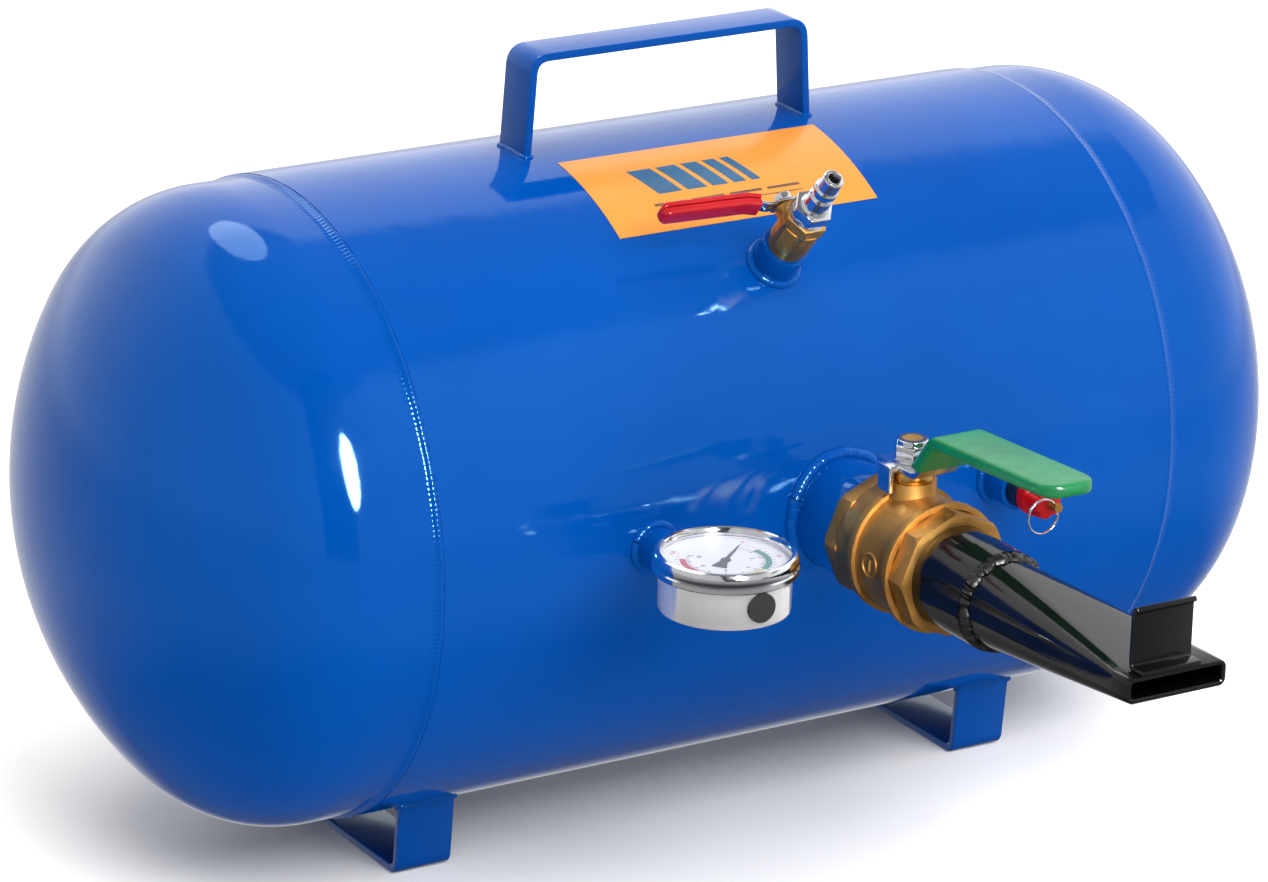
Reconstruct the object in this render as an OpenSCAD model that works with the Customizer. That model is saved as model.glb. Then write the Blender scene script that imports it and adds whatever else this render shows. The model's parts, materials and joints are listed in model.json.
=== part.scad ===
// Portable air receiver tank with a large ball-valve outlet, a flattened blast
// nozzle with a rim hook, an inlet valve with a quick-coupler plug, a pressure
// gauge and a ring-pull relief valve.
// X runs along the tank, the nozzle points to -Y, Z is up, and the origin is on
// the ground under the middle of the whole object.

/* [Tank] */
// Outer diameter of the rolled shell
tank_d = 310; // [300:1:320]
// Shell length, from seam to seam
shell_l = 406; // [400:2:460]
// Thickness of the shell and the heads
wall_t = 3; // [2.5:0.5:4]
// Inner crown radius of a head, plus its wall
crown_r = 198; // [190:1:220]
// Knuckle radius where a head turns into its skirt
knuckle_r = 68; // [60:1:72]
// Straight skirt of a head outside the seam
skirt_l = 22; // [18:1:30]
// Height of the tank axis above the ground
axis_z = 176.5; // [174:0.5:182]

/* [Handle and feet] */
// Outer length of the carry handle at its top
handle_l = 152; // [140:1:170]
// Gap from the top of the shell to the top of the handle
handle_h = 49.5; // [45:0.5:60]
// Width of the handle's flat bar
handle_w = 24; // [20:1:30]
// Thickness of the flat bar used for the handle and the feet
bar_t = 4; // [3:0.5:5]
// Width of a foot strap along the tank
foot_w = 30; // [25:1:40]
// Outer distance between the two legs of a foot at the ground
foot_span = 132; // [120:2:150]
// Distance from the middle of the tank to the middle of each foot
foot_x = 161; // [150:1:175]

/* [Ports] */
// Height of the front ports above the tank axis
port_z = 6.5; // [4:0.5:10]
// Place of the outlet along the tank
outlet_x = 12; // [6:1:18]
// Place of the gauge port along the tank
gauge_x = -91; // [-100:1:-88]
// Place of the relief port along the tank
relief_x = 102.5; // [98:0.5:108]
// Place of the inlet along the tank
inlet_x = 3; // [-2:1:8]
// Angle of the inlet above the horizontal
inlet_angle = 48.5; // [45:0.5:52]

/* [Outlet valve and nozzle] */
// Outer diameter of the outlet pipe
pipe_d = 48.3; // [48:0.1:48.4]
// Size across the flats of the valve's octagon ends
octagon_af = 56; // [55:0.5:60]
// Diameter of the outlet ball
ball_d = 42; // [41:0.5:42.5]
// Bore through the outlet ball
ball_bore = 30; // [24:1:30]
// Length of the outlet lever from its stem to its tip
lever_reach = 128; // [110:1:140]
// Width of the outlet lever's grip
grip_w = 28; // [24:1:30]
// Width of the nozzle's flattened mouth
mouth_w = 53; // [50:1:56]
// Height of the nozzle's flattened mouth
mouth_h = 12; // [11:0.5:14]
// Height of the rim hook above the nozzle
hook_h = 28; // [20:1:32]

/* [Gauge] */
// Diameter of the gauge bezel
bezel_d = 67.4; // [66:0.1:69]
// Diameter of the gauge case
case_d = 61.4; // [60:0.1:63]
// Height of the gauge, from its back to the top of its bezel
gauge_h = 28; // [27:0.5:30]

/* [Hidden] */
$fn = 96;
eps = 0.05;              // gap of a seated fit
run = 0.06;              // radial clearance of a running fit
tank_r = tank_d / 2;
inner_r = tank_r - wall_t;
half_l = shell_l / 2;
skirt_r = tank_r - 1.5;  // the head skirt is a little smaller than the shell
neck_l = 10;             // part of a head that sits inside the shell
neck_r = inner_r - eps;
seam_w = 4;              // width of the seam bead
mouth_d = 420;           // distance from the tank axis to the nozzle mouth
hook_reach = 421;        // foremost face of the rim hook
axis_y = (hook_reach - tank_r) / 2;

// Outlet valve, measured along the port from the tank axis
stub_r = 27.5;
stub_end = 185;
nose_r = 23.4;
nose_end = 192.8;
stem_d = 211;
body_start = 195;
body_end = 250;
pipe_r = pipe_d / 2;
pipe_in_r = pipe_r - 2.9;
pipe_start = 235;
flare_start = 287;
ball_r = ball_d / 2;
ball_gap = 0.3;
seat_in_r = ball_bore / 2 + 0.5;
seat_out_r = 20.5;
seat_t = 6;
seat_off = 10.5;         // from the ball's centre to the near face of a seat
flow_r = 19;             // bore through the stub
body_r = 29.5;
boss_r = 12;
boss_top = 35.3;
gland_top = 41;
plate_t = 3;
stem_r = 6;
stem_top_r = 4.95;

// Nozzle flare
flare_r = 21.2;
flare_t = 2.2;
mouth_rise = 8;          // the mouth sits a little above the pipe's axis

// Inlet valve, measured along its port from the tank axis
in_boss_r = 11.4;
in_boss_end = 170.5;
in_stem_d = 184;
in_ball_r = 7;
in_bore_r = 3.5;
in_body_r = 10.2;
in_stem_r = 2.5;
in_boss_top = 13;
coupler_start = 197;
coupler_end = 228.5;

// Gauge, heights above the tank axis
gauge_y = -215;
case_r = case_d / 2;
bezel_r = bezel_d / 2;
case_bottom = -2.5;
bezel_top = case_bottom + gauge_h;
bezel_bottom = bezel_top - 9.5;
lens_z = bezel_top - 4.2; // underside of the window
dial_z = bezel_top - 5.2; // upper face of the dial
plug_z = 8;              // height of the rubber plug in the case's side
zero_angle = 40;         // direction of the pointer at rest, from +X

// Relief valve, measured along its port from the tank axis
relief_z = port_z + 2.5;
rel_boss_end = 172.5;
rel_body_r = 9;
rel_cap_start = 182;
rel_cap_end = 197;
rel_pin_r = 2.2;
rel_pin_end = 204;
ring_r = 8.4;
ring_wire = 0.7;
ring_hole_r = 1.05;      // wide enough for the ring's curve to turn in it
ring_lean = 25;          // the pull ring leans this far below the horizontal

// ---- Frames -------------------------------------------------------------

// Places children in the tank's own frame, with its axis on the origin.
module at_tank() { translate([0, axis_y, axis_z]) children(); }

// Local Z points out of the port and local Y points up its valve stem.
module at_front(x, z = port_z) { at_tank() translate([x, 0, z]) rotate([90, 0, 0]) children(); }

module at_inlet() {
    at_tank() translate([inlet_x, 0, 0]) rotate([90 - inlet_angle, 0, 0]) children();
}

// Turns local Z to the valve stem's direction, at distance d along the port.
module at_stem(d) { translate([0, 0, d]) rotate([-90, 0, 0]) children(); }

module tank_cylinder(r, l = shell_l * 2) {
    rotate([0, 90, 0]) cylinder(r = r, h = l, center = true, $fn = 192);
}

// ---- Helpers ------------------------------------------------------------

module tube(r_out, r_in, z0, z1) {
    translate([0, 0, z0]) difference() {
        cylinder(r = r_out, h = z1 - z0);
        translate([0, 0, -1]) cylinder(r = r_in, h = z1 - z0 + 2);
    }
}

module rod(r, z0, z1) { translate([0, 0, z0]) cylinder(r = r, h = z1 - z0); }

module hexagon(af, z0, z1, sides = 6) {
    translate([0, 0, z0]) cylinder(r = af / 2 / cos(180 / sides), h = z1 - z0, $fn = sides);
}

// Rounded bends along an open path, as a list of points.
function unit(v) = v / norm(v);
function bend(p, q, s, r) =
    let (a = unit(p - q), b = unit(s - q), half = acos(a * b) / 2, run_in = r / tan(half),
         c = q + unit(a + b) * (r / sin(half)), t0 = q + a * run_in, t1 = q + b * run_in,
         a0 = atan2(t0[1] - c[1], t0[0] - c[0]), a1 = atan2(t1[1] - c[1], t1[0] - c[0]),
         turn = a1 - a0 > 180 ? a1 - a0 - 360 : (a1 - a0 < -180 ? a1 - a0 + 360 : a1 - a0))
    [for (i = [0:8]) c + r * [cos(a0 + turn * i / 8), sin(a0 + turn * i / 8)]];
function bent_path(p, r) = concat([p[0]],
    [for (i = [1:len(p) - 2]) each bend(p[i - 1], p[i], p[i + 1], r)], [p[len(p) - 1]]);
function side(p, i) =
    let (a = unit(p[min(i + 1, len(p) - 1)] - p[max(i - 1, 0)])) [-a[1], a[0]];

// A flat strip of thickness t that follows an open path with rounded bends.
module strip(path, t, r) {
    p = bent_path(path, r);
    polygon(concat([for (i = [0:len(p) - 1]) p[i] + side(p, i) * t / 2],
        [for (i = [len(p) - 1:-1:0]) p[i] - side(p, i) * t / 2]));
}

// A sloped bead round a pipe of radius r where it meets the shell.
module port_bead(r, bead, rise = 5) {
    difference() {
        translate([0, 0, tank_r - 8]) cylinder(r1 = r + bead * 2, r2 = r + 0.6, h = 8 + rise);
        translate([0, 0, tank_r - 9]) cylinder(r = r, h = 30);
        children();
    }
}

// ---- Tank ---------------------------------------------------------------

module shell() {
    color("royalblue") difference() {
        at_tank() difference() {
            tank_cylinder(tank_r, shell_l);
            tank_cylinder(inner_r, shell_l + 2);
        }
        at_front(outlet_x) rod(flow_r, 100, 200);
        at_front(gauge_x) rod(5.5, 100, 200);
        at_front(relief_x, relief_z) rod(5, 100, 200);
        at_inlet() rod(5.5, 100, 200);
    }
}

// Section of a head: distance along the axis from the seam against radius.
module head_section() {
    knuckle_c = skirt_r - knuckle_r;
    crown_c = -sqrt(pow(crown_r - knuckle_r, 2) - pow(knuckle_c, 2));
    turn = atan2(knuckle_c, -crown_c);
    arc = [for (i = [0:24]) let (a = 90 - (90 - turn) * i / 24)
        [knuckle_c + knuckle_r * sin(a), skirt_l + knuckle_r * cos(a)]];
    crown = [for (i = [1:24]) let (a = turn * (1 - i / 24))
        [crown_r * sin(a), skirt_l + crown_c + crown_r * cos(a)]];
    crown_in = [for (i = [0:23]) let (a = turn * i / 24)
        [(crown_r - wall_t) * sin(a), skirt_l + crown_c + (crown_r - wall_t) * cos(a)]];
    arc_in = [for (i = [0:24]) let (a = turn + (90 - turn) * i / 24)
        [knuckle_c + (knuckle_r - wall_t) * sin(a), skirt_l + (knuckle_r - wall_t) * cos(a)]];
    polygon(concat([[neck_r, -neck_l], [neck_r, seam_w], [skirt_r, seam_w]], arc, crown, crown_in,
        arc_in, [[skirt_r - wall_t, seam_w + 4], [neck_r - wall_t, seam_w], [neck_r - wall_t, -neck_l]]));
}

module head(dir) {
    color("royalblue") at_tank() translate([dir * half_l, 0, 0]) rotate([0, dir * 90, 0])
        rotate_extrude($fn = 192) head_section();
}

module seam_weld(dir) {
    color("mediumblue") at_tank() translate([dir * half_l, 0, 0]) rotate([0, dir * 90, 0])
        rotate_extrude($fn = 192)
            polygon([[neck_r, 0], [tank_r - 0.2, 0], [tank_r, seam_w * 0.4], [skirt_r, seam_w],
                [neck_r, seam_w]]);
}

// ---- Handle and feet ----------------------------------------------------

handle_top = tank_r + handle_h;
leg_splay = 3.5;
handle_path = [[-handle_l / 2 - leg_splay, tank_r - 6],
    [-handle_l / 2 + bar_t / 2, handle_top - bar_t / 2],
    [handle_l / 2 - bar_t / 2, handle_top - bar_t / 2],
    [handle_l / 2 + leg_splay, tank_r - 6]];

module handle_shape() {
    rotate([90, 0, 0]) linear_extrude(handle_w, center = true) strip(handle_path, bar_t, 10 - bar_t / 2);
}

module carry_handle() {
    color("royalblue") at_tank() difference() {
        handle_shape();
        tank_cylinder(tank_r);
    }
}

module handle_welds() {
    base_x = handle_l / 2 + leg_splay * 0.85;
    color("mediumblue") at_tank() difference() {
        for (s = [-1, 1])
            translate([s * base_x, 0, tank_r - 1.5]) rotate([90, 0, 0])
                linear_extrude(handle_w + 3, center = true)
                    polygon([[-7, 0], [-2.6, 5], [2.6, 5], [7, 0]]);
        handle_shape();
        tank_cylinder(tank_r);
    }
}

leg_lean = 3.7;
foot_path = [[-foot_span / 2 - leg_lean + bar_t / 2, -tank_r + 28],
    [-foot_span / 2 + bar_t / 2, -axis_z + bar_t / 2],
    [foot_span / 2 - bar_t / 2, -axis_z + bar_t / 2],
    [foot_span / 2 + leg_lean - bar_t / 2, -tank_r + 28]];

module foot_shape(s) {
    translate([s * foot_x, 0, 0]) rotate([90, 0, 90])
        linear_extrude(foot_w, center = true) strip(foot_path, bar_t, 7 - bar_t / 2);
}

module foot(s) {
    color("royalblue") at_tank() difference() {
        foot_shape(s);
        tank_cylinder(tank_r);
    }
}

module foot_welds() {
    leg_y = foot_span / 2 + leg_lean * 0.8;
    leg_z = -sqrt(pow(tank_r, 2) - pow(leg_y, 2));
    color("mediumblue") at_tank() difference() {
        for (s = [-1, 1], f = [-1, 1])
            translate([s * foot_x, f * (leg_y - 2), leg_z]) rotate([90, 0, 90])
                linear_extrude(foot_w + 3, center = true)
                    polygon([[-7, 4], [-7, 0], [-3, -5], [3, -5], [7, 0], [7, 4]]);
        for (s = [-1, 1]) foot_shape(s);
        tank_cylinder(tank_r);
    }
}

// ---- Label --------------------------------------------------------------

label_x0 = -69;
label_x1 = 75.5;
label_low = 58.5;
label_high = 81.5;
label_t = 0.25;

module label() {
    color("orange") at_tank() translate([label_x0, 0, 0]) rotate([90, 0, 90])
        rotate([0, 0, 180 - label_high]) rotate_extrude(angle = label_high - label_low, $fn = 192)
            translate([tank_r, 0]) square([label_t, label_x1 - label_x0]);
}

// ---- Port bosses --------------------------------------------------------

// The tank's outside as seen from a port, to cut a pipe's foot to fit it.
module tank_cut(x, z = port_z) { translate([-x, -z, 0]) rotate([-90, 0, 0]) tank_cylinder(tank_r); }
module inlet_cut() {
    rotate([inlet_angle - 90, 0, 0]) translate([-inlet_x, 0, 0]) tank_cylinder(tank_r);
}

module outlet_stub() {
    color("royalblue") at_front(outlet_x) difference() {
        union() {
            rod(stub_r, tank_r - 15, stub_end);
            rod(nose_r, stub_end - 1, nose_end);
        }
        rod(flow_r, tank_r - 16, nose_end + 1);
        tank_cut(outlet_x);
    }
}

module outlet_weld() { color("mediumblue") at_front(outlet_x) port_bead(stub_r, 2.2) tank_cut(outlet_x); }

module boss(r, bore, end) {
    difference() {
        rod(r, tank_r - 10, end);
        rod(bore, tank_r - 11, end + 1);
        children();
    }
}

module gauge_boss() { color("royalblue") at_front(gauge_x) boss(10.8, 6.5, 172) tank_cut(gauge_x); }
module gauge_weld() { color("mediumblue") at_front(gauge_x) port_bead(10.8, 1.7, 3.5) tank_cut(gauge_x); }

module relief_boss() {
    color("royalblue") at_front(relief_x, relief_z) boss(11, 6.5, rel_boss_end) tank_cut(relief_x, relief_z);
}

module relief_weld() {
    color("mediumblue") at_front(relief_x, relief_z) port_bead(11, 1.7, 3.5) tank_cut(relief_x, relief_z);
}

module inlet_boss() { color("royalblue") at_inlet() boss(in_boss_r, 6.5, in_boss_end) inlet_cut(); }
module inlet_weld() { color("mediumblue") at_inlet() port_bead(in_boss_r, 1.7, 3.5) inlet_cut(); }

// ---- Outlet ball valve --------------------------------------------------

module octagon(z0, z1) { hexagon(octagon_af, z0, z1, 8); }

module outlet_valve_body() {
    color("darkgoldenrod") at_front(outlet_x) difference() {
        union() {
            rod(body_r, body_start, body_end - 14);
            tube(body_r + 2, body_r - 1, 207, 211);
            tube(body_r + 2, body_r - 1, 235, 239);
            intersection() {
                octagon(body_end - 14, body_end);
                translate([0, 0, body_end - 14]) cylinder(r1 = 36, r2 = octagon_af / 2 + 1.2, h = 14.01);
            }
            at_stem(stem_d) rod(boss_r, body_r - 5, boss_top);
        }
        rod(25.05, body_start - 1, 201);
        rod(22.5, 200.5, stem_d + seat_off);
        rod(seat_out_r + eps, 200.5, stem_d + seat_off + seat_t);
        rod(seat_in_r, 200.5, pipe_start + 1);
        translate([0, 0, stem_d + seat_off + seat_t + 1.5])
            cylinder(r1 = seat_in_r, r2 = pipe_in_r, h = pipe_start - stem_d - seat_off - seat_t - 1.4);
        rod(pipe_r + eps, pipe_start, body_end + 1);
        at_stem(stem_d) rod(stem_r + run, 18, boss_top + 1);
        at_stem(stem_d) rod(9, 28, boss_top + 1);
    }
}

module outlet_end_adapter() {
    color("darkgoldenrod") at_front(outlet_x) difference() {
        union() {
            intersection() {
                octagon(stub_end, body_start);
                translate([0, 0, stub_end]) cylinder(r1 = octagon_af / 2 + 1.2, r2 = 36, h = 10.01);
            }
            rod(25, body_start - 1, 201);
        }
        rod(nose_r + eps, stub_end - 1, 193);
        rod(seat_in_r, 192, 202);
        rod(seat_out_r + eps, stem_d - seat_off - seat_t, 202);
    }
}

module outlet_seats() {
    color("white") at_front(outlet_x) difference() {
        union() {
            tube(seat_out_r, seat_in_r, stem_d - seat_off - seat_t, stem_d - seat_off);
            tube(seat_out_r, seat_in_r, stem_d + seat_off, stem_d + seat_off + seat_t);
        }
        translate([0, 0, stem_d]) sphere(r = ball_r + ball_gap);
    }
}

module outlet_ball() {
    color("silver") at_front(outlet_x) difference() {
        translate([0, 0, stem_d]) sphere(r = ball_r);
        rod(ball_bore / 2, stem_d - ball_r - 1, stem_d + ball_r + 1);
        at_stem(stem_d) translate([-2.6, -8, ball_r - 4.5]) cube([5.2, 16, 10]);
    }
}

module outlet_stem() {
    color("goldenrod") at_front(outlet_x) at_stem(stem_d) {
        rod(stem_r, ball_r - 0.4, gland_top + 0.3);
        translate([-2.5, -5.4, ball_r - 4.4]) cube([5, 10.8, 4.4]);
        rod(stem_top_r, gland_top, 55);
    }
}

module outlet_packing() {
    color("white") at_front(outlet_x) at_stem(stem_d) tube(9 - eps, stem_r + run, 28, 33);
}

module outlet_gland() {
    color("darkgoldenrod") at_front(outlet_x) at_stem(stem_d) {
        tube(9 - eps, stem_r + run, 33, boss_top);
        tube(10.7, stem_r + run, boss_top, gland_top);
    }
}

// Lever, drawn in local axes: distance along the port against height.
plate_y = gland_top + 0.3 + plate_t / 2;
grip_y0 = plate_y + 22.5;
lever_path = [[stem_d - 13, plate_y], [stem_d + 18, plate_y], [stem_d + 34.5, grip_y0],
    [stem_d + lever_reach - 9, grip_y0 + 4.7]];
grip_path = [[stem_d + 23, plate_y + 6.3], [stem_d + 34.5, grip_y0],
    [stem_d + lever_reach - 14, grip_y0 + 4.4]];

module lever_side(w, t, path, r) {
    rotate([0, -90, 0]) linear_extrude(w, center = true) strip(path, t, r);
}

module outlet_lever() {
    color("silver") at_front(outlet_x) {
        difference() {
            union() {
                lever_side(grip_w - 6, plate_t, lever_path, 6);
                at_stem(stem_d) translate([-15.5, -5, plate_y - plate_t / 2]) cube([15.5, 10, plate_t]);
                at_stem(stem_d) translate([-15.5, -5, 31.2]) cube([2.5, 10, plate_y - 31.2]);
            }
            at_stem(stem_d) rod(stem_top_r + eps, gland_top - 5, gland_top + 20);
        }
    }
}

module outlet_grip() {
    tip_d = stem_d + lever_reach - 14;
    tip_y = grip_y0 + 4.4;
    color("seagreen") at_front(outlet_x) difference() {
        union() {
            lever_side(grip_w, 6, grip_path, 6);
            translate([0, tip_y, tip_d]) rotate([-87, 0, 0])
                cylinder(r = grip_w / 2, h = 6, center = true);
        }
        lever_side(grip_w - 6 + 2 * eps, plate_t + 2 * eps, lever_path, 6);
    }
}

module outlet_washer() {
    color("silver") at_front(outlet_x) at_stem(stem_d)
        tube(9, stem_top_r + eps, plate_y + plate_t / 2, plate_y + plate_t / 2 + 1);
}

module outlet_nut() {
    color("silver") at_front(outlet_x) at_stem(stem_d) difference() {
        union() {
            hexagon(16, plate_y + plate_t / 2 + 1, plate_y + plate_t / 2 + 8);
            rod(7.4, plate_y + plate_t / 2 + 7.5, plate_y + plate_t / 2 + 10.5);
        }
        rod(stem_top_r + eps, gland_top, gland_top + 30);
    }
}

// ---- Nozzle -------------------------------------------------------------

module nozzle_pipe() {
    color("black") at_front(outlet_x) tube(pipe_r, pipe_in_r, pipe_start, flare_start);
}

module nozzle_weld() {
    color("black") at_front(outlet_x) difference() {
        translate([0, 0, flare_start]) rotate_extrude()
            polygon([[pipe_r, -4], [pipe_r + 1.6, -2.8], [pipe_r + 2.4, -0.5], [pipe_r + 2, 2],
                [flare_r + 2.4, 4.4], [flare_r + 1.2, 5.5], [flare_r - 0.8, 5.5], [flare_r - 0.8, 0], [pipe_r, 0]]);
        flare_outside();
    }
}

// Rounded rectangle of the mouth, w by h, with side radius near half its height.
module mouth_outline(w, h, r) {
    for (sx = [-1, 1], sy = [-1, 1])
        translate([sx * (w / 2 - r), sy * (h / 2 - r)]) circle(r = r, $fn = 32);
}

module flare_solid(r, w, h, z0, z1, corner) {
    hull() {
        translate([0, 0, z0]) cylinder(r = r, h = 3, $fn = 64);
        translate([0, mouth_rise, z1 - 14]) linear_extrude(14) mouth_outline(w, h, corner);
    }
}

module flare_outside() { flare_solid(flare_r, mouth_w, mouth_h, flare_start, mouth_d, 3.5); }

module nozzle_flare() {
    color("black") at_front(outlet_x) difference() {
        flare_outside();
        flare_solid(flare_r - flare_t, mouth_w - 2 * flare_t, mouth_h - 2 * flare_t,
            flare_start - 1, mouth_d + 1, 2);
    }
}

hook_w = 32;
hook_x = -4;
hook_t = 2.5;
hook_base = mouth_rise + mouth_h / 2;
hook_path = [[hook_reach - 0.1, hook_base + hook_t / 2], [mouth_d - 8, hook_base + hook_t / 2],
    [mouth_d - 8, hook_base + hook_h], [mouth_d - 5, hook_base + hook_h + 1.5]];

// The bent plate stands on the flare's flat top, so the flare is cut out of its foot.
module rim_hook() {
    color("black") at_front(outlet_x) difference() {
        translate([hook_x, 0, 0]) intersection() {
            rotate([0, -90, 0]) linear_extrude(hook_w, center = true) strip(hook_path, hook_t, 2.6);
            rod(60, mouth_d - 60, hook_reach);
        }
        flare_outside();
    }
}

// ---- Inlet valve --------------------------------------------------------

module inlet_valve_body() {
    color("darkgoldenrod") at_inlet() difference() {
        union() {
            rod(6.45, in_boss_end - 8, 176);
            rod(in_body_r - 1.2, in_boss_end, 176);
            rod(in_body_r, 175.5, 191);
            hexagon(19, 190.5, coupler_start);
            at_stem(in_stem_d) rod(6.2, 5, in_boss_top);
        }
        rod(in_bore_r, in_boss_end - 9, coupler_start + 1);
        rod(in_ball_r + 1, in_stem_d - 8.5, 194);
        rod(6.4 + eps, 193, coupler_start + 1);
        at_stem(in_stem_d) rod(in_stem_r + run, 4, in_boss_top + 1);
        at_stem(in_stem_d) rod(4.4, 10, in_boss_top + 1);
    }
}

module inlet_seats() {
    color("white") at_inlet() difference() {
        union() {
            tube(in_ball_r + 1 - eps, in_bore_r + 0.3, in_stem_d - 8.5, in_stem_d - 3.5);
            tube(in_ball_r + 1 - eps, in_bore_r + 0.3, in_stem_d + 3.5, in_stem_d + 8.5);
        }
        translate([0, 0, in_stem_d]) sphere(r = in_ball_r + ball_gap);
    }
}

module inlet_ball() {
    color("silver") at_inlet() difference() {
        translate([0, 0, in_stem_d]) sphere(r = in_ball_r);
        rod(in_bore_r, in_stem_d - 10, in_stem_d + 10);
        at_stem(in_stem_d) translate([-0.8, -4, in_ball_r - 2]) cube([1.6, 8, 4]);
    }
}

in_plate_y = in_boss_top + 0.8 + 0.75;

module inlet_stem() {
    color("goldenrod") at_inlet() at_stem(in_stem_d) {
        rod(in_stem_r, in_ball_r, in_plate_y - 0.75);
        translate([-0.75, -1.8, in_ball_r - 1.9]) cube([1.5, 3.6, 2.2]);
        rod(1.95, in_plate_y - 1, in_plate_y + 6);
    }
}

module inlet_gland() {
    color("darkgoldenrod") at_inlet() at_stem(in_stem_d)
        tube(4.4 - eps, in_stem_r + run, 10, in_boss_top + 0.5);
}

// Lever, drawn in local axes: distance from the stem along -X against height.
in_lever_path = [[-6, in_plate_y], [10, in_plate_y], [20, in_plate_y + 4], [64, in_plate_y + 5.5]];
in_grip_path = [[13.5, in_plate_y + 1.4], [20, in_plate_y + 4], [62, in_plate_y + 5.4]];

module in_lever_side(w, t, path, r) {
    translate([0, 0, in_stem_d - w / 2]) mirror([1, 0, 0]) linear_extrude(w) strip(path, t, r);
}

module inlet_lever() {
    color("silver") at_inlet() difference() {
        union() {
            in_lever_side(7, 1.5, in_lever_path, 4);
            at_stem(in_stem_d) translate([-6, -5.5, in_plate_y - 0.75]) cube([12, 11, 1.5]);
        }
        at_stem(in_stem_d) rod(2, in_plate_y - 2, in_plate_y + 10);
    }
}

module inlet_grip() {
    color("crimson") at_inlet() difference() {
        union() {
            in_lever_side(10.5, 5, in_grip_path, 4);
            translate([-62, in_plate_y + 5.4, in_stem_d]) rotate([90, 0, 0])
                cylinder(r = 5.25, h = 5, center = true);
        }
        in_lever_side(7 + 2 * eps, 1.5 + 2 * eps, in_lever_path, 4);
    }
}

module inlet_nut() {
    color("silver") at_inlet() at_stem(in_stem_d) difference() {
        hexagon(8, in_plate_y + 0.75, in_plate_y + 4.75);
        rod(2, in_plate_y, in_plate_y + 10);
    }
}

module inlet_coupler() {
    color("silver") at_inlet() rotate_extrude()
        polygon([[3, 193], [6.4, 193], [6.4, coupler_start], [8.8, coupler_start], [8.8, coupler_start + 2],
            [7, coupler_start + 2], [7, 205.5], [6, 206.5], [6, 213.5], [4.7, 214.7], [4.7, 216.6],
            [6, 217.4], [6, 220], [5, 221], [5, coupler_end - 0.6], [4.4, coupler_end], [3, coupler_end]]);
    color("silver") at_inlet() difference() {
        hexagon(17, coupler_start + 2, 205);
        rod(6.9, coupler_start, 206);
    }
}

// ---- Gauge --------------------------------------------------------------

module at_gauge() { at_tank() translate([gauge_x, gauge_y, 0]) children(); }

module gauge_connector() {
    color("goldenrod") at_front(gauge_x) {
        difference() {
            union() {
                rod(6.45, 163, 173);
                hexagon(14, 172, 180);
                rod(5.5, 179, -gauge_y - 21);
            }
            rod(1.5, 162, 186);
        }
    }
}

module gauge_case() {
    color("silver") difference() {
        at_gauge() difference() {
            rod(case_r, case_bottom, lens_z);
            rod(case_r - 1, case_bottom + 1, lens_z + 1);
        }
        at_front(gauge_x) rod(5.5 + eps, 175, 205);
        at_gauge() translate([0, 0, plug_z]) rotate([90, 0, 0]) rod(5, 20, 40);
    }
}

module gauge_bezel() {
    color("silver") at_gauge() rotate_extrude()
        polygon([[case_r + eps, bezel_bottom], [bezel_r - 0.6, bezel_bottom], [bezel_r, bezel_bottom + 0.8],
            [bezel_r, bezel_bottom + 3], [bezel_r - 0.8, bezel_bottom + 3.8], [bezel_r - 0.3, bezel_top - 3],
            [bezel_r - 1.2, bezel_top - 0.8], [bezel_r - 2.4, bezel_top], [bezel_r - 3.6, bezel_top - 0.6],
            [bezel_r - 4.6, bezel_top - 3], [case_r - 1.4, bezel_top - 3], [case_r - 1.4, bezel_top - 3.5],
            [case_r + eps, bezel_top - 3.5]]);
}

module gauge_lens() { color("lightcyan") at_gauge() rod(case_r, lens_z, bezel_top - 3.5); }

module gauge_dial() {
    color("white") at_gauge() difference() {
        rod(case_r - 1 - eps, dial_z - 0.6, dial_z);
        rod(0.8 + run, dial_z - 2, dial_z + 1);
    }
}

module gauge_pointer() {
    color("black") at_gauge() {
        rod(0.8, 5.2, dial_z + 0.6);
        rod(2.4, dial_z + 0.3, dial_z + 0.6);
        rotate([0, 0, zero_angle]) translate([0, 0, dial_z + 0.3]) linear_extrude(0.3)
            polygon([[-9.5, -3.6], [-1, -1.4], [2, -0.9], [20, -0.25],
                [20, 0.25], [2, 0.9], [-1, 1.4], [-9.5, 3.6]]);
    }
}

// The C-shaped spring tube, from the connector round to the movement.
module gauge_bourdon() {
    color("peru") at_gauge() translate([0, 0, 9.2]) rotate([0, 0, 100])
        rotate_extrude(angle = 260) translate([20, 0]) square([1.6, 5], center = true);
}

module gauge_movement() {
    color("goldenrod") at_gauge() {
        difference() {
            translate([-8, -7, 2.5]) cube([16, 14, 1.5]);
            rod(0.8 + run, 0, 5);
        }
        difference() {
            translate([-8, -7, 11]) cube([16, 14, 1.2]);
            rod(0.8 + run, 10, 14);
        }
        for (x = [-6.5, 6.5], y = [-5.5, 5.5]) translate([x, y, 0]) rod(0.9, 3.9, 11.1);
        translate([-3, 7, 2.5]) cube([6, 14, 3]);
    }
}

module gauge_plug() {
    color("black") at_gauge() difference() {
        translate([0, 0, plug_z]) rotate([90, 0, 0]) {
            rod(5 - eps, case_r - 3, case_r + 1);
            rod(7, case_r - 2, case_r + 1.2);
        }
        difference() {
            rod(case_r, case_bottom - 1, bezel_bottom + 8);
            translate([0, 0, plug_z]) rotate([90, 0, 0]) rod(5, 10, 60);
        }
    }
}

// ---- Relief valve -------------------------------------------------------

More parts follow.
